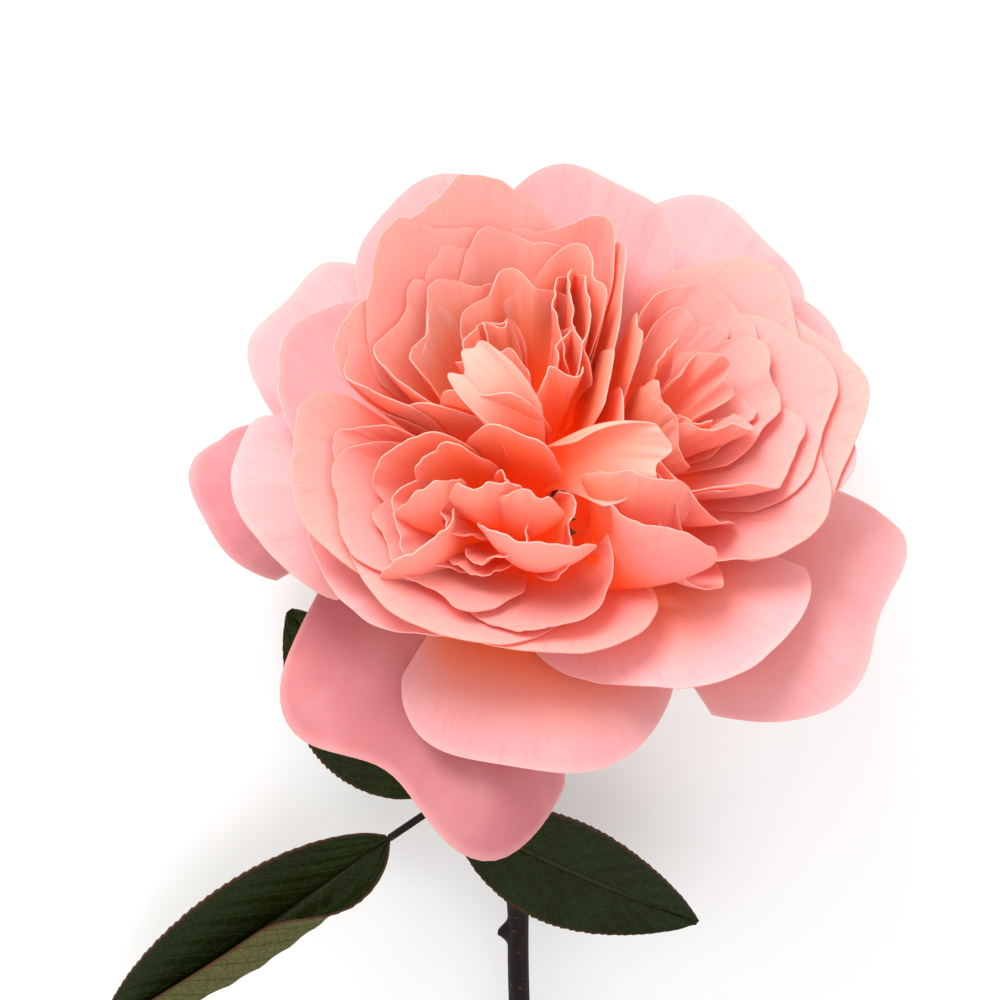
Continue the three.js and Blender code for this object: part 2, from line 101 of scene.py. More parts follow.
RECEPTACLE = receptacle()
BLOOM_TURN = np.array(Matrix.Rotation(math.radians(BLOOM_LEAN - 90), 3, "X"))

# ---- the bloom's layout

# Guard petals stand round the bloom's axis. Three rosettes, each round its own tilted axis, fill
# the cup inside them. A layer lies inside the one before it.
Rosette = namedtuple("Rosette", "heading tilt offset open reach waves phase ruffle")
ROSETTES = {
    "upper": Rosette(112, 11, 2.9, 46, 38, 8, 30, 1.5),
    "right": Rosette(10, 38, 2.9, 52, 42, 7, 80, 1.0),
    "lower": Rosette(243, 33, 2.9, 52, 38, 7, 10, 0.9),
}
LAYER_OPENING = (1, 0.84, 0.68, 0.53, 0.39, 0.26, 0.14)
GUARD_RING = 7.6
GUARD_RING_STEP = 0.5
GUARD_FOOT = -1.8
GUARD_FOOT_STEP = 0.6
GUARD_WAVES = 5
GUARD_PHASE = 20
GUARD_RUFFLE = 1.0
ROSETTE_RING = 2.3
ROSETTE_RING_STEP = 0.26
ROSETTE_FOOT = 0.6
ROSETTE_FOOT_STEP = 0.85
CLAW_SHARE = 0.55  # of a petal's full width, at its foot
CLAW_END = 0.7
RUFFLE_FROM = 8
RUFFLE_OVER = 26
CRIMP_FROM = 0.62
RIM_ROUNDING = 0.25
HEART_LOBE = 0.03
HEART_CLOSING = (1.15, 1, 0.25)  # shares of a layer's lean at its foot, half-way and at its reach
HEART_SQUEEZE = 0.2
ROLL_FROM = 0.55
ROLL_OVER = 0.45
RUFFLED_SIDE = math.radians(10)
FIRST_GAP = 0.5
LAYER_GAP = 0.62
SOFTNESS = 0.4
SOFTNESS_GROWTH = 0.05

Guard = namedtuple(
    "Guard", "layer heading half_width length foot middle rim roll twist skew lobe lobe_at"
)
GUARDS = (
    Guard(0, 336, 31, 46, 66, 80, 100, 10, -5, -0.03, 0.03, 0.5),
    Guard(0, 236, 39, 40.8, 73, 93, 108, 20, 33, 0.18, 0.085, 0.66),
    Guard(0, 178, 21, 43.5, 58, 76, 100, 20, 0, 0, 0.02, 0),
    Guard(0, 54, 26, 47, 58, 67, 58, 10, 0, 0, 0.02, 0.2),
    Guard(1, 109, 25, 46, 51, 62, 57, 10, 0, 0, 0.02, 0),
    Guard(0, 143, 23, 43, 54, 67, 76, 15, 0, 0, 0.02, 0.5),
    Guard(1, 269, 34, 38, 62, 82, 122, 0, 0, 0, 0.02, 0.3),
    Guard(1, 26, 30, 43, 54, 65, 56, 10, 0, 0, 0.02, 0),
    Guard(2, 80, 27, 45, 40, 50, 38, 10, 0, 0, 0.02, 0.2),
    Guard(1, 190, 27, 41, 48, 62, 76, 15, 0, 0, 0.02, 0.1),
    Guard(2, 5, 27, 43, 50, 62, 54, 10, 0, 0, 0.03, 0.4),
    Guard(2, 301, 34, 38, 46, 70, 84, 10, 0, 0.24, 0.02, 0.1),
    Guard(2, 158, 28, 39, 44, 56, 48, 10, 0, 0, 0.02, 0),
    Guard(2, 225, 34, 37, 44, 58, 62, 0, 0, 0, 0.02, 0.1),
)

Heart = namedtuple("Heart", "layer heading half_width length roll lobe_at")
HEART_ROWS = {
    "upper": (
        (0, 182, 42, 32, 4, 0), (0, 102, 37, 38, 4, 0.2), (0, 26, 38, 40, 4, 0.1),
        (1, 142, 44, 36, 4, 0.3), (1, 58, 38, 39, 4, 0), (1, 224, 36, 30, 10, 0.1),
        (2, 180, 46, 33, 4, 0.2), (2, 92, 40, 36, 4, 0.4), (3, 140, 48, 32, 4, 0.1),
        (3, 44, 46, 35, 4, 0.3), (4, 95, 60, 31, 4, 0), (5, 160, 80, 27, 0, 0.2),
    ),
    "right": (
        (0, 0, 52, 40, 6, 0.1), (0, 270, 36, 34, 0, 0.4), (1, 45, 42, 37, 4, 0.2),
        (1, 318, 44, 38, 4, 0), (1, 218, 42, 33, 26, 0.3), (2, 5, 54, 38, 4, 0.2),
        (2, 258, 46, 34, 0, 0), (3, 322, 52, 35, 2, 0.4), (3, 78, 50, 34, 4, 0.1),
        (4, 230, 50, 29, 4, 0), (4, 20, 64, 33, 2, 0.3), (5, 300, 60, 30, 0, 0.1),
        (6, 60, 85, 29, 0, 0.2),
    ),
    "lower": (
        (0, 188, 48, 34, 6, 0.1), (0, 292, 48, 32, 4, 0.2), (1, 240, 52, 34, 6, 0),
        (2, 185, 52, 33, 4, 0.3), (2, 300, 52, 31, 2, 0.1), (3, 140, 46, 29, 4, 0.2),
        (3, 240, 50, 31, 2, 0.4), (4, 198, 56, 30, 0, 0.1), (5, 300, 66, 28, 0, 0),
        (6, 190, 80, 27, 0, 0.2),
    ),
}
HEARTS = {name: [Heart(*row) for row in rows] for name, rows in HEART_ROWS.items()}

# Narrow inner petals crowd between the layers: how many, then what the first one is like.
Crowd = namedtuple("Crowd", "count layer heading half_width length")
CROWDS = {
    "upper": Crowd(11, 0.5, 200, 27, 35),
    "right": Crowd(9, 1.5, 250, 27, 34),
    "lower": Crowd(9, 1.5, 150, 30, 32),
}
CROWD_LAYER_STEP = 0.5
CROWD_SHORTENING = 0.9  # how much shorter each is than the one before it
CROWD_TURN = 137.5
CROWD_WIDENING = 2
CROWD_ROLL = 3
CROWD_LOBE_STEP = 0.13

# Petals that stand or lie folded around the eye: a middle line from foot to tip, the way the
# face looks, the width, then how much it cups, how far it rolls over on one side or on both,
# how ragged its tip is and how pale it is.
Fold = namedtuple("Fold", "foot middle tip facing width cup one_side both_sides ragged pale")
FOLD_ROWS = (
    ((-1.6, -4.0, 16), (-2.6, -7.4, 34), (-12.6, 3.4, 35.5), (-0.1, -0.5, 0.85),
     12, 30, -95, 0, 0.16, 0.7),
    ((-3.2, -1.2, 18), (-4.4, 0.8, 29), (-5.4, 3.6, 34.5), (0.1, -0.7, 0.7),
     8.5, 46, 0, 50, 0.12, 0.45),
    ((-0.6, -4.6, 16), (5.0, -12.0, 34), (17.4, -14.6, 34), (-0.2, -0.6, 0.75),
     15, 20, -150, 0, 0.1, 0.4),
    ((7.5, -16.5, 13), (12.6, -20.5, 24), (12.4, -17.0, 34.5), (0.15, 0.95, -0.3),
     21, 62, 0, 0, 0.04, 0),
    ((7.0, -19.5, 12), (14.8, -26.0, 23), (15.0, -23.6, 31.5), (0.3, 0.9, -0.3),
     22, 66, 0, 0, 0.03, 0),
    ((-5.5, -12.0, 13), (-7.6, -18.6, 24), (-8.4, -17.2, 33), (0.0, 0.95, -0.3),
     13, 52, 0, 0, 0.1, 0.7),
    ((-4.5, -13.5, 13), (-2.2, -20.6, 24), (-1.6, -18.8, 33), (0.1, 0.95, -0.3),
     12, 50, 0, 0, 0.08, 0.65),
    ((-8.5, -12.5, 13), (-14.4, -18.4, 24), (-15.6, -16.4, 31), (-0.3, 0.9, -0.3),
     13, 50, 0, 0, 0.1, 0.6),
    ((-3.0, -15.5, 11), (-1.6, -26.0, 21), (-1.0, -25.6, 31), (0.1, 0.95, -0.3),
     21, 60, 0, 0, 0.03, 0.65),
    ((-8.0, -14.0, 11), (-15.0, -24.5, 20), (-17.0, -25.0, 28), (-0.35, 0.9, -0.3),
     18, 52, 0, 0, 0.04, 0.6),
    ((1.5, 8.0, 14), (1.4, 14.0, 25), (1.6, 13.0, 34), (1, 0, 0),
     19, 34, 0, 0, 0.08, 0.3),
    ((3.0, 8.0, 14), (3.4, 13.0, 25), (3.9, 11.8, 35), (1, 0.1, 0),
     22, 30, 0, 0, 0.08, 0.35),
    ((4.4, 7.0, 14), (5.8, 12.0, 25), (6.4, 10.5, 35.5), (-1, 0, 0),
     24, 26, 0, 0, 0.06, 0.3),
)
FOLDS = [Fold(*row) for row in FOLD_ROWS]

# ---- sizes and colours to change


def colour_setting(name, description, default):
    return FloatVectorProperty(
        name=name, description=description, default=default, min=0, max=1, subtype="COLOR"
    )


def small_length(name, description, default, low):
    return FloatProperty(
        name=name, description=description, default=default,
        min=low, max=0.001, precision=5, unit="LENGTH",
    )


class RosePetalSettings(bpy.types.PropertyGroup):
    """Sizes and colours of the petals."""

    thickness: small_length("Thickness", "How thick a petal is", 0.00018, 0.0001)
    cells: IntProperty(
        name="Cells", description="Cells across and along one petal",
        default=44, min=8, max=80,
    )
    crimp: small_length("Crimp", "Height of the fine waves along a petal's rim", 0.00020, 0)
    # Glow is partly the petals' own orange and partly painted light: the deep, saturated orange of
    # light bounced between the petals.
    glow: colour_setting("Glow", "Colour at the feet of the petals", (1.0, 0.17, 0.02))
    coral: colour_setting("Coral", "Colour half-way up the inner petals", (1.0, 0.29, 0.075))
    peach: colour_setting("Peach", "Colour of the inner petals near their rims", (1.0, 0.50, 0.27))
    cream: colour_setting("Cream", "Colour right at a petal's rim", (1.0, 0.78, 0.68))
    pink: colour_setting("Pink", "Colour of the outer petals", (0.97, 0.55, 0.57))
    # Rose is partly the outer petals' deeper colour and partly painted shade on those turned down
    # away from the lamp.
    rose: colour_setting("Rose", "Deeper flush of the outer petals", (0.57, 0.20, 0.235))


class RoseGreenSettings(bpy.types.PropertyGroup):
    """Colours of the leaf, calyx and stem."""

    leaf: colour_setting("Leaf", "Colour of a leaflet's upper side", (0.010, 0.014, 0.0015))
    underside: colour_setting("Underside", "Colour of a leaflet's underside", (0.105, 0.105, 0.036))
    calyx: colour_setting("Calyx", "Colour of the hip and sepals", (0.10, 0.16, 0.035))
    bark: colour_setting("Bark", "Colour of the stem and leaf stalk", (0.009, 0.004, 0.004))


class RoseStageSettings(bpy.types.PropertyGroup):
    """The table, the light and the camera."""

    table: colour_setting("Table", "Colour of the table", (0.98, 0.98, 0.98))
    sky: FloatProperty(
        name="Sky", description="Strength of the even light from all round",
        default=1.06, min=0, max=5,
    )
    lamp: FloatProperty(
        name="Lamp", description="Power of the soft lamp above the bloom",
        default=2.4, min=0, max=100, unit="POWER",
    )
    lens: FloatProperty(
        name="Lens", description="Focal length of the camera",
        default=100, min=10, max=300,
    )


# ---- small maths


def smooth(x):
    x = np.clip(x, 0, 1)
    return x * x * (3 - 2 * x)


def through(start, middle, end, x):
    """A quadratic through three values, at 0, a half and 1."""
    return start * (1 - x) * (1 - 2 * x) + middle * 4 * x * (1 - x) + end * x * (2 * x - 1)


def unit(vectors):
    return vectors / np.linalg.norm(vectors, axis=-1, keepdims=True)


def press(x, softness):
    """A smooth stand-in for max(0, x), which keeps the order of its values."""
    return softness * np.logaddexp(0, x / softness)


WALK_STEPS = 16


def walk(lean, length, t):
    """How far out and how far up a line gets that leans by lean(x) from the axis."""
    step = length * t / WALK_STEPS
    out = up = 0.0
    for i in range(WALK_STEPS):
        angle = lean((i + 0.5) / WALK_STEPS * t)
        out = out + np.sin(angle) * step
        up = up + np.cos(angle) * step
    return out, up


def in_bloom(points):
    """Points of the bloom's own frame, in millimetres, as points of the whole rose in metres."""
    return points @ BLOOM_TURN.T * MM + np.array(RECEPTACLE)


# ---- shader maths


def binary(operation, swapped=False):
    """A method that adds a Math node for two values."""

    def result(self, other):
        return self.math(operation, *((other, self) if swapped else (self, other)))

    return result


class Value:
    """A node's output. Arithmetic on it adds Math nodes to the same finish."""

    def __init__(self, finish, socket):
        self.finish = finish
        self.socket = socket

    def math(self, operation, *values):
        return self.finish.node("ShaderNodeMath", {"operation": operation}, dict(enumerate(values)))

    __add__ = binary("ADD")
    __radd__ = binary("ADD", swapped=True)
    __sub__ = binary("SUBTRACT")
    __rsub__ = binary("SUBTRACT", swapped=True)
    __mul__ = binary("MULTIPLY")
    __rmul__ = binary("MULTIPLY", swapped=True)
    __pow__ = binary("POWER")

    def __abs__(self):
        return self.math("ABSOLUTE", self)

    def fract(self):
        return self.math("FRACT", self)

    def between(self, low, high):
        """0 at low and 1 at high, easing in and out."""
        settings = {"interpolation_type": "SMOOTHSTEP"}
        sockets = {"Value": self, "From Min": low, "From Max": high}
        return self.finish.node("ShaderNodeMapRange", settings, sockets)


class Finish:
    """A material being built."""

    def __init__(self, name):
        self.material = bpy.data.materials.new(name)
        self.material.use_nodes = True
        self.tree = self.material.node_tree
        self.tree.nodes.clear()

    def node(self, kind, settings=None, sockets=None, output=0):
        """Adds a node, sets it up, fills its sockets, and returns one of its outputs."""
        node = self.tree.nodes.new(kind)
        for name, value in (settings or {}).items():
            if name == "stops":
                set_stops(node.color_ramp, value)
            else:
                setattr(node, name, value)
        for name, value in (sockets or {}).items():
            if isinstance(value, Value):
                self.tree.links.new(value.socket, node.inputs[name])
            else:
                node.inputs[name].default_value = value
        return Value(self, node.outputs[output]) if node.outputs else None

    def mix(self, colour, *others):
        """A colour with others blended in one after the other, each by its own factor."""
        for factor, other in others:
            first, second = (c if isinstance(c, Value) else opaque(c) for c in (colour, other))
            sockets = {0: factor, 6: first, 7: second}
            colour = self.node("ShaderNodeMix", {"data_type": "RGBA"}, sockets, output=2)
        return colour

    def attribute(self, name):
        """A number that each point of the mesh holds."""
        return self.node("ShaderNodeAttribute", {"attribute_name": name}, output=2)

    def place(self):
        """Where the point is, in metres, in the frame of the whole rose."""
        return self.node("ShaderNodeTexCoord", output=3)

    def bump(self, strength, distance, height, invert=False):
        sockets = {"Strength": strength, "Distance": distance, "Height": height}
        return self.node("ShaderNodeBump", {"invert": invert}, sockets)

    def skin(self, **sockets):
        """The surface itself; a socket's name has _ for each space."""
        sockets = {name.replace("_", " "): value for name, value in sockets.items()}
        return self.node("ShaderNodeBsdfPrincipled", None, sockets)

    def petal_place(self):
        """Where the point is on its sheet's map."""
        return self.node("ShaderNodeUVMap", {"uv_map": PETAL_MAP})

    def across_and_along(self):
        """The two values of a sheet's map: across the piece and along it."""
        kind, split = "ShaderNodeSeparateXYZ", {"Vector": self.petal_place()}
        return self.node(kind, None, split), self.node(kind, None, split, output=1)

    def noise(self, place, scale, detail=3, stretch=(1, 1, 1)):
        """Noise whose pattern is stretched by different amounts along the three axes."""
        mapped = self.node("ShaderNodeMapping", None, {"Vector": place, "Scale": stretch})
        sockets = {"Vector": mapped, "Scale": scale, "Detail": detail, "Roughness": 0.55}
        return self.node("ShaderNodeTexNoise", None, sockets)

    def done(self, surface):
        """Links the last shader to the material's output."""
        self.node("ShaderNodeOutputMaterial", None, {"Surface": surface})
        return self.material


def set_stops(ramp, stops):
    """Gives a colour ramp its places and colours, in order."""
    while len(ramp.elements) < len(stops):
        ramp.elements.new(1)
    for element, (place, colour) in zip(ramp.elements, stops):
        element.position = place
        element.color = opaque(colour)


def opaque(colour):
    return (*tuple(colour)[:3], 1)


def mixed(first, second, share):
    """A colour part of the way from one to another."""
    return tuple(a + (b - a) * share for a, b in zip(tuple(first)[:3], tuple(second)[:3]))


# ---- meshes

PETAL_MAP = "petal"
RIM_ANGLE = math.radians(50)


def sheet_mesh(across, along, surface, flip=False):
    """A grid whose every vertex moves onto surface(u, t), with -1 <= u <= 1 and 0 <= t <= 1."""
    bm = bmesh.new()
    bm.loops.layers.uv.new(PETAL_MAP)
    bmesh.ops.create_grid(bm, x_segments=across, y_segments=along, size=1, calc_uvs=True)
    u = np.array([v.co.x for v in bm.verts])
    t = np.array([(v.co.y + 1) / 2 for v in bm.verts])
    for vertex, point in zip(bm.verts, surface(u, t)):
        vertex.co = point
    if flip:
        bmesh.ops.reverse_faces(bm, faces=bm.faces)
    return bm


def add_piece(name, bm, materials, thickness=0.0, values=None):
    """Makes an object of a mesh: thickness gives a sheet its wall, and values holds attributes."""
    mesh = bpy.data.meshes.new(name)
    bm.to_mesh(mesh)
    bm.free()
    for label, numbers in (values or {}).items():
        mesh.attributes.new(label, "FLOAT", "POINT").data.foreach_set("value", numbers)
    for material in materials:
        mesh.materials.append(material)
    mesh.shade_smooth()
    piece = bpy.data.objects.new(name, mesh)
    bpy.context.scene.collection.objects.link(piece)
    if thickness:
        wall = piece.modifiers.new("wall", "SOLIDIFY")
        wall.thickness = thickness
        wall.offset = 0
        wall.material_offset = len(materials) - 1
        bpy.context.view_layer.update()
        graph = bpy.context.evaluated_depsgraph_get()
        piece.data = bpy.data.meshes.new_from_object(piece.evaluated_get(graph))
        piece.modifiers.clear()
    piece.data.set_sharp_from_angle(angle=RIM_ANGLE)
    return piece


def stands_for(piece, node):
    """The piece rides on the one body and hides a CAD node."""
    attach(piece, ROOT)
    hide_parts(node)


# ---- petals


def rim_length(length, u, lobe, lobe_at):
    rounded = 1 - RIM_ROUNDING * np.abs(u) ** 3
    return length * rounded * (1 + lobe * np.cos(2 * math.pi * (u - lobe_at)))


def heading_at(heading, half_width, u, t):
    opened = CLAW_SHARE + (1 - CLAW_SHARE) * smooth(t / CLAW_END)
    return math.radians(heading) + u * math.radians(half_width) * opened


def standing(out, up, lean, ruffle, angle):
    """A point out from an axis and up along it, moved a little way square to its own lean."""
    r = out + ruffle * np.cos(lean)
    return np.stack([r * np.cos(angle), r * np.sin(angle), up - ruffle * np.sin(lean)], -1)


def ruffle_at(height, t, length, waves, phase, angle):
    grown = smooth((t * length - RUFFLE_FROM) / RUFFLE_OVER)
    return height * grown * np.sin(waves * angle + math.radians(phase))


def crimp_at(height, u, t, seed):
    """Fine uneven waves that only show near the rim."""
    uneven = np.sin(9 * u + 1.7 * seed) + 0.6 * np.sin(17 * u + 2.9 * seed)
    uneven = uneven + 0.35 * np.sin(31 * u + seed)
    return height * smooth((t - CRIMP_FROM) / (1 - CRIMP_FROM)) * uneven


def guard_surface(guard, crimp, seed):
    def surface(u, t):
        reach = rim_length(guard.length, u, guard.lobe, guard.lobe_at) * (1 + guard.skew * u)

        def lean(x):
            bow = through(guard.foot, guard.middle, guard.rim, x)
            return np.radians(bow + x * x * (guard.roll * u * u + guard.twist * u))

        out, up = walk(lean, reach, t)
        angle = heading_at(guard.heading, guard.half_width, u, t)
        ruffle = ruffle_at(GUARD_RUFFLE, t, reach, GUARD_WAVES, GUARD_PHASE, angle)
        ruffle = ruffle + crimp_at(crimp, u, t, seed)
        ring = GUARD_RING - GUARD_RING_STEP * guard.layer
        rise = GUARD_FOOT + GUARD_FOOT_STEP * guard.layer
        return standing(ring + out, rise + up, lean(t), ruffle, angle)

    return surface


def axis_of(rosette):
    """A rosette's foot, the direction of its axis, and the turn that tilts it."""
    heading = math.radians(rosette.heading)
    out = np.array([math.cos(heading), math.sin(heading), 0])
    hinge = Vector((-out[1], out[0], 0))
    turn = np.array(Matrix.Rotation(math.radians(rosette.tilt), 3, hinge))
    return out * rosette.offset, turn[:, 2], turn


CUP_FOOT = 5.6
CUP_SLOPE = (0.92, -0.2, 0.16)  # all round, then its change upwards and to the right
CUP_FLARE = (0.016, -0.012, 0.012)


def cup_at(radius, angle):
    """How high the guard petals' inside is, and how fast it opens, at a distance and a heading."""
    slope, flare = (
        even + upwards * np.sin(angle) + right * np.cos(angle)
        for even, upwards, right in (CUP_SLOPE, CUP_FLARE)
    )
    beyond = radius - CUP_FOOT
    opening = np.sqrt(slope * slope + 4 * flare * np.maximum(0, beyond))
    return np.where(beyond > 0, 2 * beyond / (slope + opening), beyond / slope), opening


def pressed(points, name, layer):
    """A rosette presses against its neighbours and lies on the cup, each layer further in."""
    gap = FIRST_GAP + LAYER_GAP * layer
    softness = SOFTNESS + SOFTNESS_GROWTH * np.linalg.norm(points, axis=-1)
    own_foot, own_direction, _ = axis_of(ROSETTES[name])
    for other, rosette in ROSETTES.items():
        if other == name:
            continue
        foot, direction, _ = axis_of(rosette)
        away = unit(own_direction - direction)
        depth = (points - (own_foot + foot) / 2) @ away
        points = points + (gap + press(depth - gap, softness) - depth)[..., None] * away
    radius = np.hypot(points[..., 0], points[..., 1])
    height, opening = cup_at(radius, np.arctan2(points[..., 1], points[..., 0]))
    bed = height + gap * np.hypot(1, opening) / opening
    lifted = bed + press(points[..., 2] - bed, softness)
    return np.concatenate([points[..., :2], lifted[..., None]], -1)


def heart_surface(name, heart, crimp, seed):
    rosette = ROSETTES[name]
    foot, _, turn = axis_of(rosette)
    opening = rosette.open * np.interp(heart.layer, range(len(LAYER_OPENING)), LAYER_OPENING)

    def surface(u, t):
        reach = rim_length(heart.length, u, HEART_LOBE, heart.lobe_at)
        angle = heading_at(heart.heading, heart.half_width, u, t)
        squeeze = 1 - HEART_SQUEEZE * np.cos(angle - math.radians(rosette.heading)) ** 2

        def lean(x):
            closing = through(*HEART_CLOSING, x * reach / rosette.reach)
            rolled = heart.roll * smooth((x - ROLL_FROM) / ROLL_OVER)
            return np.radians(opening * closing * squeeze + rolled)

        out, up = walk(lean, reach, t)
        height = rosette.ruffle * (0.5 + 0.5 * np.cos((angle - RUFFLED_SIDE) / 2) ** 2)
        ruffle = ruffle_at(height, t, reach, rosette.waves, rosette.phase, angle)
        ruffle = ruffle + crimp_at(crimp, u, t, seed)
        ring = ROSETTE_RING - ROSETTE_RING_STEP * heart.layer
        rise = ROSETTE_FOOT + ROSETTE_FOOT_STEP * heart.layer
        points = standing(ring + out, rise + up, lean(t), ruffle, angle)
        return pressed(points @ turn.T + foot, name, heart.layer)

    return surface


def crowd_petal(crowd, index):
    """One of the narrow petals between the layers, each further round and further in."""
    layer = crowd.layer + CROWD_LAYER_STEP * index
    heading = crowd.heading + CROWD_TURN * index
    length = crowd.length - CROWD_SHORTENING * index
    half_width = crowd.half_width + CROWD_WIDENING * index
    return Heart(layer, heading, half_width, length, CROWD_ROLL, CROWD_LOBE_STEP * index)


FOLD_ROUNDING = 0.4
FOLD_FOOT = 0.35  # of a folded petal's full width, at its foot
FOLD_WIDE_AT = 0.75
FOLD_ROLL_FROM = 0.35  # of the half's width
FOLD_ROLLED_AT = 0.5


def fold_surface(fold, crimp, seed):
    """A petal along its own bent line, cupped across, with one or both sides rolled over."""
    foot, middle, tip, facing = (np.array(place, float) for place in fold[:4])

    def surface(u, t):
        cut = FOLD_ROUNDING * np.abs(u) ** 2.5
        reach = t * (1 - cut - fold.ragged * ragged_at(u, seed) * smooth(t))
        share = reach[:, None]
        line = foot * (1 - share) ** 2 + middle * 2 * share * (1 - share) + tip * share**2
        ahead = (middle - foot) * (1 - share) + (tip - middle) * share
        ahead = unit(ahead)
        side = unit(np.cross(ahead, facing))
        up = np.cross(side, ahead)
        half = fold.width / 2 * (FOLD_FOOT + (1 - FOLD_FOOT) * smooth(reach / FOLD_WIDE_AT))
        rolled = fold.both_sides + np.where(u * fold.one_side > 0, abs(fold.one_side), 0)

        def turn(x):
            share_rolled = smooth((x - FOLD_ROLL_FROM) / (1 - FOLD_ROLL_FROM))
            return np.radians(fold.cup * x + rolled * share_rolled * smooth(reach / FOLD_ROLLED_AT))

        risen, across = walk(turn, half, np.abs(u))
        lift = risen + crimp_at(crimp, u, t, seed)
        return line + side * (np.sign(u) * across)[:, None] + up * lift[:, None]

    return surface


def ragged_at(u, seed):
    """Uneven notches along a tip."""
    return 0.5 + 0.3 * np.sin(5 * u + 2.3 * seed) + 0.2 * np.sin(11 * u + 4.1 * seed)


SPREAD_FROM = 12
SPREAD_OVER = 20
DEEPER_ROSE_AND_SHADE = {1: 0.25, 2: 0.95, 3: 0.85, 7: 0.2}  # guard petals of a deeper rose, partly their own colour and partly painted shade
SHADED_BY_HEART = {1: 0.25, 7: 0.9, 12: 0.8, 14: 0.6}  # guard petals under the heart's painted shadow, whose orange foot reaches further out


def petal(name, surface, materials, settings, **shades):
    """One petal. Its spread is 0 in the heart and 1 outside; shades holds what else it has."""
    spread = []

    def placed(u, t):
        points = surface(u, t)
        spread.extend(smooth((np.hypot(points[:, 0], points[:, 1]) - SPREAD_FROM) / SPREAD_OVER))
        return in_bloom(points)

    bm = sheet_mesh(settings.cells, settings.cells, placed)
    count = len(bm.verts)
    values = {shade: [shades.get(shade, 0.0)] * count for shade in ("flush", "ember", "pale")}
    values["spread"] = spread
    return add_piece(name, bm, materials, settings.thickness, values)


def petal_finish(name, settings, outer, back):
    """Thin and velvety: a deep orange foot that is partly painted light, with a painted glow on the
    inner petals, paler towards the rim, with fine veins and a cream edge; some outer petals get
    painted shade.
    """
    glow, coral, peach = settings.glow, settings.coral, settings.peach
    cream, pink, rose = settings.cream, settings.pink, settings.rose
    finish = Finish(name)
    across, along = finish.across_and_along()
    spread = finish.attribute("spread")
    veins = finish.noise(finish.petal_place(), 9, 4, stretch=(7, 0.55, 1))
    mottle = finish.noise(finish.place(), 90, 3)
    # The feet are partly painted light: deeper and more saturated than the petal itself, as light
    # gathered deep between the petals looks.
    inner_stops = (
        (0.0, glow),
        (0.55, coral),
        (0.86, mixed(peach, cream, 0.1)),
        (1.0, mixed(peach, cream, 0.75)),
    )
    outer_stops = (
        (0.0, mixed(glow, coral, 0.4)),
        (0.3, mixed(coral, pink, 0.45)),
        (0.6, pink),
        (1.0, mixed(pink, rose, 0.15) if outer else mixed(pink, cream, 0.5)),
    )
    inner = finish.node("ShaderNodeValToRGB", {"stops": inner_stops}, {"Fac": along})
    open_side = finish.node("ShaderNodeValToRGB", {"stops": outer_stops}, {"Fac": along})
    shade_reach = finish.attribute("ember") * (1 - along.between(0.5, 0.97))
    side = abs(across * 2 - 1)
    rim = along.between(0.955, 1.0) + side.between(0.975, 1.0) * along
    colour = finish.mix(
        inner,
        (spread, open_side),
        # Partly painted shade: a deeper rose on outer petals that turn down away from the lamp.
        (finish.attribute("flush") * along.between(0.15, 0.7), rose),
        (mottle.between(0.45, 0.75) * spread * 0.12, mixed(pink, cream, 0.8)),
        (veins.between(0.5, 0.8) * 0.3, mixed(coral, rose, 0.6)),
        # Painted shadow: where the heart shades the guard petals, deep orange reaches further up
        # from their feet.
        (shade_reach, mixed(glow, coral, 0.6)),
        (finish.attribute("pale") * along.between(0.1, 0.6), cream),
        (rim * 0.22, cream),
    )
    if back:
        colour = finish.mix(colour, (0.15, cream))
    skin = finish.skin(
        Base_Color=colour,
        Roughness=0.5 + mottle * 0.2,
        Normal=finish.bump(0.35, 0.0004, veins * 0.7 + mottle * 0.3),
        Specular_IOR_Level=0.12,
        # Painted glow: the inner petals' feet give off a little orange light that fades out towards
        # the rim, in place of light shining through them.
        Emission_Color=finish.mix(glow, (along.between(0.0, 0.95), (0, 0, 0))),
        Emission_Strength=0.0 if outer else 0.25,
    )
    lit = opaque(mixed(coral, pink, 0.75 if outer else 0.1))
    through_it = finish.node("ShaderNodeBsdfTranslucent", None, {"Color": lit})
    shaders = {0: 0.3 if outer else 0.5, 1: skin, 2: through_it}
    return finish.done(finish.node("ShaderNodeMixShader", None, shaders))


def petal_finishes(kind, settings, outer=False):
    """The finishes of a kind of petal: first its back, then its front."""
    return [
        petal_finish(f"{kind}_back", settings, outer, True),
        petal_finish(f"{kind}_front", settings, outer, False),
    ]


class ROSE_OT_guard_petals(bpy.types.Operator):
    """The big outer petals that hold the cup"""

    bl_idname = "rose.guard_petals"
    bl_label = "Guard petals"

    def execute(self, context):
        settings = context.scene.rose_petals
        materials = petal_finishes("guard", settings, outer=True)
        for index, guard in enumerate(GUARDS, 1):
            surface = guard_surface(guard, settings.crimp / MM, index)
            name = f"guard_petal_{index:02d}"
            # The deeper rose is partly the petal's own colour and partly painted shade.
            # The second value paints the heart's shadow onto the guard petal's foot.
            shades = {"flush": DEEPER_ROSE_AND_SHADE.get(index, 0), "ember": SHADED_BY_HEART.get(index, 0)}
            piece = petal(name, surface, materials, settings, **shades)
            stands_for(piece, f"guard_{index:02d}")
        return {"FINISHED"}


class ROSE_OT_heart_petals(bpy.types.Operator):
    """The petals of the three rosettes inside the cup"""

    bl_idname = "rose.heart_petals"
    bl_label = "Heart petals"

    def execute(self, context):
        settings = context.scene.rose_petals
        materials = petal_finishes("heart", settings)
        for rosette, hearts in HEARTS.items():
            for index, heart in enumerate(hearts, 1):
                seed = index + ROSETTES[rosette].heading
                surface = heart_surface(rosette, heart, settings.crimp / MM, seed)
                name = f"{rosette}_petal_{index:02d}"
                piece = petal(name, surface, materials, settings)
                stands_for(piece, f"{rosette}_{index:02d}")
        return {"FINISHED"}


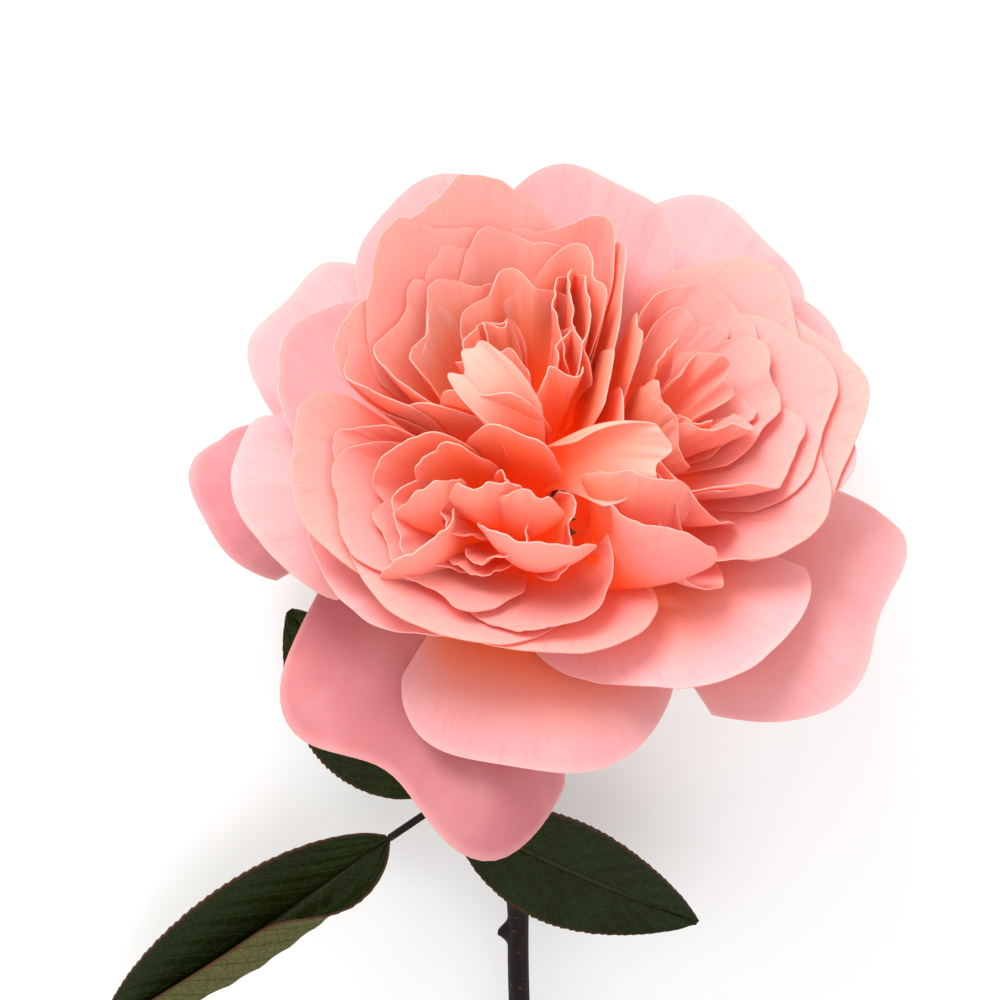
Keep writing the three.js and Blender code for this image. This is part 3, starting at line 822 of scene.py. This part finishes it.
class ROSE_OT_inner_petals(bpy.types.Operator):
    """The narrow petals that crowd between the layers, and those folded over the eye"""

    bl_idname = "rose.inner_petals"
    bl_label = "Inner petals"

    def execute(self, context):
        settings = context.scene.rose_petals
        materials = petal_finishes("inner", settings)
        crimp = settings.crimp / MM
        pieces = []
        for rosette, crowd in CROWDS.items():
            for index in range(crowd.count):
                surface = heart_surface(rosette, crowd_petal(crowd, index), crimp, index + 5)
                name = f"{rosette}_inner_{index + 1:02d}"
                pieces.append(petal(name, surface, materials, settings))
        for index, fold in enumerate(FOLDS, 1):
            surface = fold_surface(fold, crimp, index)
            name = f"folded_petal_{index}"
            pieces.append(petal(name, surface, materials, settings, pale=fold.pale))
        for piece in pieces:
            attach(piece, ROOT)
        return {"FINISHED"}


# ---- stamens and calyx

STAMENS = 70
GOLDEN_TURN = math.radians(137.5)
FILAMENT_RADIUS = 0.16
FILAMENT_SIDES = 5
ANTHER_LENGTH = 1.5
STAMEN_HEIGHT = 13.0
STAMEN_RING = 2.1
STAMEN_SPREAD = 3.2


def stamens_mesh():
    """Filaments in a golden-angle spiral on the receptacle, each with its anther."""
    bm = bmesh.new()
    for i in range(STAMENS):
        share = math.sqrt((i + 0.5) / STAMENS)
        turn = i * GOLDEN_TURN
        out = Vector((math.cos(turn), math.sin(turn), 0)) * share
        foot = out * STAMEN_RING + Vector((0, 0, HIP_TOP))
        height = STAMEN_HEIGHT * (1 - 0.25 * share + 0.12 * math.sin(3.1 * i))
        tip = foot + out * (STAMEN_SPREAD - STAMEN_RING) + Vector((0, 0, height))
        aim = (tip - foot).to_track_quat("Z", "Y").to_matrix().to_4x4()
        length = (tip - foot).length
        bmesh.ops.create_cone(
            bm, cap_ends=True, segments=FILAMENT_SIDES, depth=length,
            radius1=FILAMENT_RADIUS, radius2=FILAMENT_RADIUS * 0.6,
            matrix=Matrix.Translation((foot + tip) / 2) @ aim,
        )
        anther = Matrix.Diagonal((0.42, 0.55, ANTHER_LENGTH / 2, 1))
        nod = Matrix.Rotation(0.9 * math.sin(2.3 * i), 4, "X")
        bmesh.ops.create_icosphere(
            bm, subdivisions=1, radius=1, matrix=Matrix.Translation(tip) @ nod @ anther
        )
    return bm


def stamen_finish():
    """Amber, speckled with dark olive."""
    finish = Finish("stamen")
    place = finish.place()
    speckle = finish.noise(place, 1500, 2)
    colour = finish.mix((0.30, 0.22, 0.03), (speckle.between(0.35, 0.65), (0.09, 0.07, 0.01)))
    return finish.done(finish.skin(Base_Color=colour, Roughness=0.55 + speckle * 0.2))


def place_in_bloom(bm):
    points = in_bloom(np.array([v.co for v in bm.verts]))
    for vertex, point in zip(bm.verts, points):
        vertex.co = point


class ROSE_OT_stamens(bpy.types.Operator):
    """The tuft of stamens in the eye between the rosettes"""

    bl_idname = "rose.stamens"
    bl_label = "Stamens"

    def execute(self, context):
        bm = stamens_mesh()
        place_in_bloom(bm)
        piece = add_piece("stamens", bm, [stamen_finish()])
        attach(piece, ROOT)
        return {"FINISHED"}


HIP_SEGMENTS = 48
HIP_STEPS = 28


def hip_outline():
    """Points of the hip's side from its neck to its flat top."""
    bottom = HIP_TOP - HIP_LENGTH
    knots = np.array(
        [
            (NECK_RADIUS, bottom),
            (HIP_RADIUS * 0.72, bottom + HIP_LENGTH * 0.28),
            (HIP_RADIUS, HIP_TOP - HIP_LENGTH * 0.42),
            (HIP_RADIUS * 1.02, HIP_TOP - HIP_LENGTH * 0.22),
            (HIP_RIM, HIP_TOP - HIP_RIM_DROP),
        ]
    )
    side = rounded_line(np.pad(knots, ((0, 0), (0, 1))), HIP_STEPS)
    return [(0, bottom), *((x, z) for x, z, _ in side), (HIP_MOUTH, HIP_TOP), (0, HIP_TOP)]


def rounded_line(knots, steps):
    """A centripetal Catmull-Rom line through the knots, at even spacing."""
    knots = np.asarray(knots, float)
    padded = np.vstack([2 * knots[0] - knots[1], knots, 2 * knots[-1] - knots[-2]])
    dense = []
    for i in range(1, len(padded) - 2):
        p = padded[i - 1 : i + 3]
        times = np.concatenate([[0], np.cumsum(np.linalg.norm(np.diff(p, axis=0), axis=1) ** 0.5)])
        for time in np.linspace(times[1], times[2], 40, endpoint=False):
            dense.append(pyramid(p, times, time))
    dense = np.array([*dense, knots[-1]])
    run = np.concatenate([[0], np.cumsum(np.linalg.norm(np.diff(dense, axis=0), axis=1))])
    even = np.linspace(0, run[-1], steps + 1)
    return np.stack([np.interp(even, run, dense[:, axis]) for axis in range(3)], -1)


def pyramid(points, times, time):
    """The Barry-Goldman pyramid for one point between the two middle knots."""

    def between(first, second, start, end):
        return (first * (end - time) + second * (time - start)) / (end - start)

    rows = zip(points, points[1:], times, times[1:])
    low, middle, high = (between(*row) for row in rows)
    low = between(low, middle, times[0], times[2])
    high = between(middle, high, times[1], times[3])
    return between(low, high, times[1], times[2])


def hip_mesh():
    bm = bmesh.new()
    outline = [bm.verts.new((x, 0, z)) for x, z in hip_outline()]
    edges = [bm.edges.new(pair) for pair in zip(outline, outline[1:])]
    bmesh.ops.spin(
        bm, geom=outline + edges, cent=(0, 0, 0), axis=(0, 0, 1),
        angle=math.tau, steps=HIP_SEGMENTS, use_merge=True,
    )
    bmesh.ops.remove_doubles(bm, verts=bm.verts, dist=1e-4)
    bmesh.ops.recalc_face_normals(bm, faces=bm.faces)
    return bm


def calyx_finish(name, settings):
    """Matt green with a reddish flush and fine lengthwise ribs."""
    finish = Finish(name)
    place = finish.place()
    flush = finish.noise(place, 120, 4)
    ribs = finish.noise(place, 700, 3, stretch=(1, 0.25, 1))
    colour = finish.mix(
        settings.calyx,
        (flush.between(0.45, 0.7) * 0.6, (0.14, 0.05, 0.03)),
        (ribs.between(0.4, 0.7) * 0.35, (0.22, 0.30, 0.08)),
    )
    skin = finish.skin(
        Base_Color=colour,
        Roughness=0.5 + ribs * 0.25,
        Normal=finish.bump(0.5, 0.0003, ribs + flush * 0.5),
        Specular_IOR_Level=0.35,
    )
    return finish.done(skin)


class ROSE_OT_hip(bpy.types.Operator):
    """The green hip under the petals"""

    bl_idname = "rose.hip"
    bl_label = "Hip"

    def execute(self, context):
        bm = hip_mesh()
        place_in_bloom(bm)
        piece = add_piece("rose_hip", bm, [calyx_finish("hip_skin", context.scene.rose_green)])
        stands_for(piece, "hip")
        return {"FINISHED"}


SEPALS = 5
FIRST_SEPAL = 54
SEPAL_LENGTH = 24
SEPAL_WIDTH = 6.5
SEPAL_THICKNESS = 0.35
SEPAL_GAP = 0.3
SEPAL_DROP = 1
SEPAL_FRINGE = 0.16
SEPAL_RIDGE = 0.35
SEPAL_CURL = 0.1
SEPAL_LEAN = (92, 104, 118)  # degrees from the axis: foot, half-way, tip


def sepal_surface(index):
    """A sepal springs from under the hip's rim and lies back, narrowing to a drawn-out tip."""
    heading = math.radians(FIRST_SEPAL + index * 360 / SEPALS)
    out = np.array([math.cos(heading), math.sin(heading), 0])
    side = np.array([-out[1], out[0], 0])

    def surface(u, t):
        walked_out, walked_up = walk(lambda x: np.radians(through(*SEPAL_LEAN, x)), SEPAL_LENGTH, t)
        taper = (1.04 - 0.96 * t**1.4) * (0.72 + 0.28 * smooth(t * 5))
        lobes = np.maximum(0, np.sin(26 * t + index)) * smooth(t * 4)
        fringe = 1 + SEPAL_FRINGE * np.abs(u) ** 6 * lobes
        half = SEPAL_WIDTH / 2 * taper * fringe
        ridge = SEPAL_RIDGE * np.exp(-((u / 0.16) ** 2)) * (1 - t)
        curl = SEPAL_CURL * u * u * half - ridge
        points = np.outer(HIP_RIM + SEPAL_GAP + walked_out, out) + np.outer(u * half, side)
        points[:, 2] = HIP_TOP - SEPAL_DROP + walked_up + curl
        return in_bloom(points)

    return surface


class ROSE_OT_sepals(bpy.types.Operator):
    """The five sepals that lie back from the hip"""

    bl_idname = "rose.sepals"
    bl_label = "Sepals"

    def execute(self, context):
        finish = calyx_finish("sepal_skin", context.scene.rose_green)
        for index in range(SEPALS):
            bm = sheet_mesh(16, 60, sepal_surface(index))
            piece = add_piece(f"sepal_blade_{index + 1}", bm, [finish], SEPAL_THICKNESS * MM)
            stands_for(piece, f"sepal_{index + 1}")
        return {"FINISHED"}


# ---- stem

STEM_LENGTH = 172
STEM_RADIUS = 1.65
NECK_GAP = 0.02
PRICKLE_LENGTH = 2.2
LEAF_JOINT = 0.185
BUD_JOINT = 0.345
PRICKLE_AT = 0.395
SCAR = 0.012  # how far below its joint a scar is
JOINT_SWELLING = 0.25
STEM_RINGS = 300
STEM_SIDES = 28

AXIS = np.array([0, LEAN_COS, LEAN_SIN])
SEAT = np.array([0, 0, RECEPTACLE.z / MM])
NECK = SEAT + AXIS * (HIP_TOP - HIP_LENGTH - NECK_GAP)
CUT_HEIGHT = STEM_RADIUS * 1.2


def beside_bloom(points):
    """Points measured in millimetres from the table right under the receptacle, in metres."""
    return points * MM + np.array([RECEPTACLE.x, RECEPTACLE.y, 0])


def stem_point(x, run, height):
    """A point of the stem's middle line, at shares of its run and of the neck's height."""
    return (x, NECK[1] - STEM_LENGTH * run, CUT_HEIGHT + (NECK[2] - CUT_HEIGHT) * height)


STEM_KNOTS = (
    NECK,
    NECK - 5 * AXIS,
    stem_point(-1.4, 0.09, 0.66),
    stem_point(-2.6, 0.19, 0.58),
    stem_point(-2.8, 0.31, 0.5),
    stem_point(-2.6, 0.47, 0.38),
    stem_point(0.5, 0.74, 0.18),
    stem_point(4, 1, 0),
)


def swelling(t, at, width, amount):
    return amount * np.exp(-(((t - at) / width) ** 2))


def stem_radius(t, angle):
    """Radius of the stem, with swollen joints, shallow ribs and a ring scar under each joint."""
    taper = 0.95 + 0.2 * t
    joints = sum(swelling(t, joint, 0.02, JOINT_SWELLING) for joint in (LEAF_JOINT, BUD_JOINT))
    scars = swelling(t, LEAF_JOINT + SCAR, 0.003, 0.05) + swelling(t, BUD_JOINT + SCAR, 0.003, 0.06)
    ribs = 0.012 * np.sin(5 * angle + 9 * t) + 0.01 * np.sin(11 * angle - 14 * t)
    return STEM_RADIUS * (taper + joints + scars + ribs)


def frames_along(line):
    """Directions along a line, and two directions square to it that don't spin."""
    ahead = np.gradient(line, axis=0)
    ahead /= np.linalg.norm(ahead, axis=1)[:, None]
    first = []
    last = np.array([1.0, 0, 0])
    for direction in ahead:
        last = last - direction * (last @ direction)
        last /= np.linalg.norm(last)
        first.append(last)
    first = np.array(first)
    return ahead, first, np.cross(ahead, first)


def tube_mesh(line, sides, radius_at, shift_at=None):
    """A closed tube along a line: a grid rolled up, its seam merged and its ends capped."""
    rings = len(line) - 1
    ahead, first, second = frames_along(line)

    def surface(u, t):
        ring = np.rint(t * rings).astype(int)
        angle = (u + 1) * math.pi
        radius = radius_at(t, angle)
        out = first[ring] * np.cos(angle)[:, None] + second[ring] * np.sin(angle)[:, None]
        points = line[ring] + out * radius[:, None]
        if shift_at is not None:
            points = points + ahead[ring] * shift_at(t, angle)[:, None]
        return beside_bloom(points)

    bm = sheet_mesh(sides, rings, surface)
    bmesh.ops.remove_doubles(bm, verts=bm.verts, dist=1e-7)
    rim = [edge for edge in bm.edges if edge.is_boundary]
    caps = bmesh.ops.holes_fill(bm, edges=rim)["faces"]
    bmesh.ops.inset_individual(bm, faces=caps, thickness=0.0002, depth=0.00008)
    bmesh.ops.recalc_face_normals(bm, faces=bm.faces)
    return bm, caps


PRICKLE_BASE = 2.6
PRICKLE_HEADING = math.radians(186)


def prickle_lift(t, angle):
    """How far the stem's skin is drawn out into its prickle."""
    turned = (angle - PRICKLE_HEADING + math.pi) % math.tau - math.pi
    along = (t - PRICKLE_AT) * STEM_LENGTH / PRICKLE_BASE
    across = turned * STEM_RADIUS / (PRICKLE_BASE * 0.5)
    distance = np.hypot(along, across)
    return np.maximum(0, 1 - distance) ** 1.7


def bark_finish(name, settings):
    """Dark purple-brown skin with lengthwise streaks and pale pores."""
    finish = Finish(name)
    place = finish.place()
    streaks = finish.noise(place, 900, 4, stretch=(1, 0.08, 1))
    patches = finish.noise(place, 160, 3, stretch=(1, 0.4, 1))
    pores = finish.noise(place, 1900, 1, stretch=(1, 0.6, 1))
    colour = finish.mix(
        settings.bark,
        (patches.between(0.4, 0.7) * 0.7, (0.024, 0.013, 0.010)),
        (streaks.between(0.45, 0.75) * 0.5, (0.034, 0.017, 0.015)),
        (pores.between(0.68, 0.74) * 0.6, (0.13, 0.08, 0.055)),
    )
    skin = finish.skin(
        Base_Color=colour,
        Roughness=0.5 + streaks * 0.25,
        Normal=finish.bump(0.5, 0.0003, streaks + pores * 0.4),
        Specular_IOR_Level=0.15,
    )
    return finish.done(skin)


def cut_finish():
    """The cut face: pale, grainy pith."""
    finish = Finish("cut_pith")
    grain = finish.noise(finish.place(), 2600, 3)
    colour = finish.mix((0.42, 0.44, 0.22), (grain.between(0.3, 0.7), (0.60, 0.58, 0.36)))
    normal = finish.bump(0.4, 0.0002, grain)
    return finish.done(finish.skin(Base_Color=colour, Roughness=0.6 + grain * 0.2, Normal=normal))


class ROSE_OT_stem(bpy.types.Operator):
    """The stem with its joints, its prickle and its cut end"""

    bl_idname = "rose.stem"
    bl_label = "Stem"

    def execute(self, context):
        line = rounded_line(STEM_KNOTS, STEM_RINGS)
        bm, caps = tube_mesh(
            line,
            STEM_SIDES,
            lambda t, angle: stem_radius(t, angle) + PRICKLE_LENGTH * prickle_lift(t, angle),
            lambda t, angle: 0.5 * prickle_lift(t, angle) ** 2,
        )
        for face in caps:
            face.material_index = 1
        finishes = [bark_finish("stem_bark", context.scene.rose_green), cut_finish()]
        piece = add_piece("rose_stem", bm, finishes)
        stands_for(piece, "stem")
        return {"FINISHED"}


# ---- leaf

LEAFLET_LENGTH = 62
LEAFLET_WIDTH = 23
SIDE_LEAFLET = 0.68
LEAF_THICKNESS = 0.35
STALK_RADIUS = 0.75
STALK_GAP = 0.3
STALK_SWELLING = 1.35
STALK_THINNING = 0.55
STALK_GROOVE = 0.14
STALK_RINGS = 60
STALK_SIDES = 16
TEETH = 34
TOOTH_HEIGHT = 0.028
CURL_FROM = 0.2  # share of a half's width at which it starts to curl over
CURL_OVER = 0.4
VEIN_PAIRS = 9
VEIN_DEPTH = 0.28
MIDRIB_DEPTH = 0.35
BLADE_WAVE = 0.25
VEIN_RISE = 0.34  # how far towards the tip a side vein gets on its way to the margin

Leaflet = namedtuple("Leaflet", "foot tip width bend fold curl")
SIDE_LENGTH = LEAFLET_LENGTH * SIDE_LEAFLET
SIDE_WIDTH = LEAFLET_WIDTH * 0.8
LEAF_NODE = (-12.5, -10.2, 2.2)  # from the joint on the stem to where the side leaflets spring

# Each leaflet: its foot, from the node, which way it points, its length and width, and how far
# its middle bends, its halves fold up and its left half curls over.
LEAFLETS = {
    "end": ((-8.3, -7.2, -1.4), (-52.8, -43.5, -7), LEAFLET_LENGTH, LEAFLET_WIDTH, 2, 14, 150),
    "right": ((2.6, -2, 1), (38.8, -19, 0.5), SIDE_LENGTH, SIDE_WIDTH, 1.5, 10, 0),
    "left": ((-1.8, 2, 0.6), (-19, 26, -4), SIDE_LENGTH * 0.86, SIDE_WIDTH * 1.1, 1, 8, 0),
}


def leaf_layout():
    """The stalk's line and the three leaflets, from the joint on the stem."""
    joint = rounded_line(STEM_KNOTS, STEM_RINGS)[round(LEAF_JOINT * STEM_RINGS)]
    node = joint + np.array(LEAF_NODE)
    away = unit(node - joint)
    start = joint + away * (stem_radius(LEAF_JOINT, 0) + STALK_GAP + STALK_RADIUS * STALK_SWELLING)
    leaflets = {}
    for name, (foot, heading, length, *shape) in LEAFLETS.items():
        foot = node + np.array(foot)
        leaflets[name] = Leaflet(foot, foot + unit(np.array(heading)) * length, *shape)
    end = leaflets["end"].foot - away * STALK_GAP
    return rounded_line((start, node, end), STALK_RINGS), leaflets


def vein_distance(u, t):
    """0 on a side vein and 1 half-way between two of them."""
    phase = (t - VEIN_RISE * np.abs(u) ** 1.25 * (1 - 0.55 * t)) * VEIN_PAIRS
    return np.abs(2 * (phase - np.floor(phase)) - 1)


def leaflet_surface(leaflet):
    """A toothed blade, folded along its midrib and quilted between its veins."""
    along = leaflet.tip - leaflet.foot
    length = np.linalg.norm(along)
    along = along / length
    side = unit(np.cross((0, 0, 1), along))
    up = np.cross(along, side)

    def surface(u, t):
        outline = np.maximum(0.06, np.sin(math.pi * np.clip(t, 0, 1) ** 0.82) ** 0.72)
        tooth = (TEETH * t) % 1
        toothed = 1 + TOOTH_HEIGHT * (0.5 - tooth) * np.abs(u) ** 10 * smooth(t * 8)
        half = leaflet.width / 2 * outline * toothed
        closing = leaflet.curl * (0.3 + 0.7 * smooth(t / 0.4))

        def turn(x):
            curled = closing * smooth((x - CURL_FROM) / CURL_OVER)
            return np.radians(leaflet.fold + np.where(u > 0, curled, 0))

        walked_up, walked_out = walk(turn, half, np.abs(u))
        ribs = 1 - vein_distance(u, t)
        quilt = -VEIN_DEPTH * ribs**2 * smooth(np.abs(u) * 4) * (1 - np.abs(u) ** 4)
        groove = -MIDRIB_DEPTH * np.exp(-((u / 0.07) ** 2))
        wave = BLADE_WAVE * np.sin(7 * t + 2 * u) * np.abs(u)
        lift = quilt + groove + wave
        bend = turn(np.abs(u))
        points = leaflet.foot + np.outer(t * length, along)
        points += np.outer(leaflet.bend * np.sin(math.pi * t) + walked_up + lift * np.cos(bend), up)
        points += np.outer(np.sign(u) * (walked_out - lift * np.sin(bend)), side)
        return beside_bloom(points)

    return surface


def leaf_finish(name, settings, underside):
    """A leathery blade with a pale midrib, side veins and a net of small ones between them."""
    finish = Finish(name)
    across, along = finish.across_and_along()
    off_middle = abs(across * 2 - 1)
    place = finish.place()
    bent = (off_middle**1.25) * (1 - along * 0.55) * VEIN_RISE
    phase = ((along - bent) * VEIN_PAIRS).fract()
    side_vein = abs(phase * 2 - 1).between(0.86, 1.0)
    midrib = 1 - off_middle.between(0.02, 0.07)
    cells = {"Vector": place, "Scale": 700.0}
    net = finish.node("ShaderNodeTexVoronoi", {"feature": "DISTANCE_TO_EDGE"}, cells)
    small_vein = 1 - net.between(0.02, 0.12)
    patches = finish.noise(place, 110, 3)
    margin = off_middle.between(0.93, 1.0)
    if underside:
        colour = finish.mix(
            settings.underside,
            (patches.between(0.35, 0.7) * 0.5, (0.10, 0.10, 0.03)),
            (small_vein * 0.35, (0.03, 0.022, 0.010)),
            (side_vein * 0.6, (0.03, 0.022, 0.010)),
            (midrib * 0.7, (0.16, 0.10, 0.05)),
        )
    else:
        colour = finish.mix(
            settings.leaf,
            (patches.between(0.35, 0.75) * 0.8, (0.014, 0.024, 0.003)),
            (small_vein * 0.15, (0.04, 0.07, 0.02)),
            (side_vein * 0.2, (0.04, 0.055, 0.012)),
            (midrib * 0.5, (0.05, 0.045, 0.018)),
        )
    height = side_vein * 0.5 + small_vein * 0.25 + midrib
    skin = finish.skin(
        Base_Color=finish.mix(colour, (margin * 0.6, (0.10, 0.03, 0.015))),
        Roughness=patches * 0.2 + (0.6 if underside else 0.38),
        Normal=finish.bump(0.6, 0.0003, height, invert=not underside),
        Specular_IOR_Level=0.08 if underside else 0.12,
    )
    return finish.done(skin)


def stalk_radius(t, angle):
    """Radius of the leaf's stalk, thick at its foot, with a shallow groove along its top."""
    thinned = STALK_SWELLING - STALK_THINNING * smooth(t * 1.6)
    groove = STALK_GROOVE * np.exp(-(((angle - math.pi / 2) / 0.5) ** 2))
    return STALK_RADIUS * thinned * (1 - groove)


class ROSE_OT_leaf(bpy.types.Operator):
    """The leaf: its stalk and its three toothed leaflets"""

    bl_idname = "rose.leaf"
    bl_label = "Leaf"

    def execute(self, context):
        settings = context.scene.rose_green
        stalk, leaflets = leaf_layout()
        bm, _ = tube_mesh(stalk, STALK_SIDES, stalk_radius)
        piece = add_piece("stalk_of_leaf", bm, [bark_finish("stalk_bark", settings)])
        stands_for(piece, "leaf_stalk")
        finishes = [
            leaf_finish("leaf_top", settings, False),
            leaf_finish("leaf_underside", settings, True),
        ]
        for name, leaflet in leaflets.items():
            bm = sheet_mesh(48, TEETH * 5, leaflet_surface(leaflet), flip=True)
            piece = add_piece(f"blade_{name}", bm, finishes, LEAF_THICKNESS * MM)
            stands_for(piece, f"leaflet_{name}")
        return {"FINISHED"}


# ---- stage

FLOOR_SIZE = 4.0
FLOOR_GAP = 0.0002
VIEW_LEAN = math.radians(22)  # how far the camera leans from straight down, towards the bloom
VIEW_RIGHT = Vector((1, 0, 0))
VIEW_UP = Vector((0, math.cos(VIEW_LEAN), -math.sin(VIEW_LEAN)))
VIEW_BACK = Vector((0, math.sin(VIEW_LEAN), math.cos(VIEW_LEAN)))
CAMERA_OFFSET = (-0.00576, 0.00216, 0.4)
LAMP_OFFSET = (-0.15, 0.35, 0.35)
LAMP_SIZE = 0.3
SENSOR = 36


def seen_from(offset):
    """A place given as right, up and back in the camera's own directions, from the receptacle."""
    right, up, back = offset
    return RECEPTACLE + VIEW_RIGHT * right + VIEW_UP * up + VIEW_BACK * back


class ROSE_OT_stage(bpy.types.Operator):
    """The pale table, the soft light and the camera"""

    bl_idname = "rose.stage"
    bl_label = "Stage"

    def execute(self, context):
        scene = context.scene
        settings = scene.rose_stage
        bm = bmesh.new()
        bmesh.ops.create_grid(bm, x_segments=1, y_segments=1, size=FLOOR_SIZE / 2)
        bmesh.ops.translate(bm, verts=bm.verts, vec=(0, 0, CAD_BOUNDS[0].z - FLOOR_GAP))
        finish = Finish("table_top")
        top = finish.skin(Base_Color=opaque(settings.table), Roughness=0.8, Specular_IOR_Level=0.2)
        table = add_piece("table", bm, [finish.done(top)])

        world = bpy.data.worlds.new("studio")
        world.use_nodes = True
        sky = world.node_tree.nodes["Background"]
        sky.inputs["Color"].default_value = (1, 1, 1, 1)
        sky.inputs["Strength"].default_value = settings.sky
        scene.world = world

        light = bpy.data.lights.new("lamp", "AREA")
        light.shape = "DISK"
        light.size = LAMP_SIZE
        light.energy = settings.lamp
        lamp = bpy.data.objects.new("lamp", light)
        lamp.location = seen_from(LAMP_OFFSET)
        lamp.rotation_euler = (RECEPTACLE - lamp.location).to_track_quat("-Z", "Y").to_euler()
        scene.collection.objects.link(lamp)

        lens = bpy.data.cameras.new("camera")
        lens.lens = settings.lens
        lens.sensor_width = SENSOR
        lens.clip_start = 0.01
        camera = bpy.data.objects.new("camera", lens)
        camera.matrix_world = Matrix.Translation(seen_from(CAMERA_OFFSET)) @ Matrix(
            (VIEW_RIGHT, VIEW_UP, VIEW_BACK)
        ).transposed().to_4x4()
        scene.collection.objects.link(camera)
        scene.camera = camera
        scene.view_settings.view_transform = "Standard"
        return {"FINISHED"}


# ---- panel, registering and the run

STEPS = (
    ROSE_OT_guard_petals,
    ROSE_OT_heart_petals,
    ROSE_OT_inner_petals,
    ROSE_OT_stamens,
    ROSE_OT_hip,
    ROSE_OT_sepals,
    ROSE_OT_stem,
    ROSE_OT_leaf,
    ROSE_OT_stage,
)

GROUPS = {
    "rose_petals": RosePetalSettings,
    "rose_green": RoseGreenSettings,
    "rose_stage": RoseStageSettings,
}


class ROSE_PT_panel(bpy.types.Panel):
    """Lists the steps that build the rose, with the sizes and colours they use"""

    bl_idname = "ROSE_PT_panel"
    bl_label = "Cut rose"
    bl_space_type = "VIEW_3D"
    bl_region_type = "UI"
    bl_category = "Rose"

    def draw(self, context):
        for group, kind in GROUPS.items():
            box = self.layout.box()
            for name in kind.__annotations__:
                box.prop(getattr(context.scene, group), name)
        for step in STEPS:
            self.layout.operator(step.bl_idname)


def register():
    for group in GROUPS.values():
        bpy.utils.register_class(group)
    for name, group in GROUPS.items():
        setattr(bpy.types.Scene, name, PointerProperty(type=group))
    for step in STEPS:
        bpy.utils.register_class(step)
    bpy.utils.register_class(ROSE_PT_panel)


def unregister():
    bpy.utils.unregister_class(ROSE_PT_panel)
    for step in reversed(STEPS):
        bpy.utils.unregister_class(step)
    for name in GROUPS:
        delattr(bpy.types.Scene, name)
    for group in reversed(GROUPS.values()):
        bpy.utils.unregister_class(group)


def main():
    register()
    for step in STEPS:
        group, name = step.bl_idname.split(".")
        getattr(getattr(bpy.ops, group), name)()


if __name__ == "__main__":
    main()
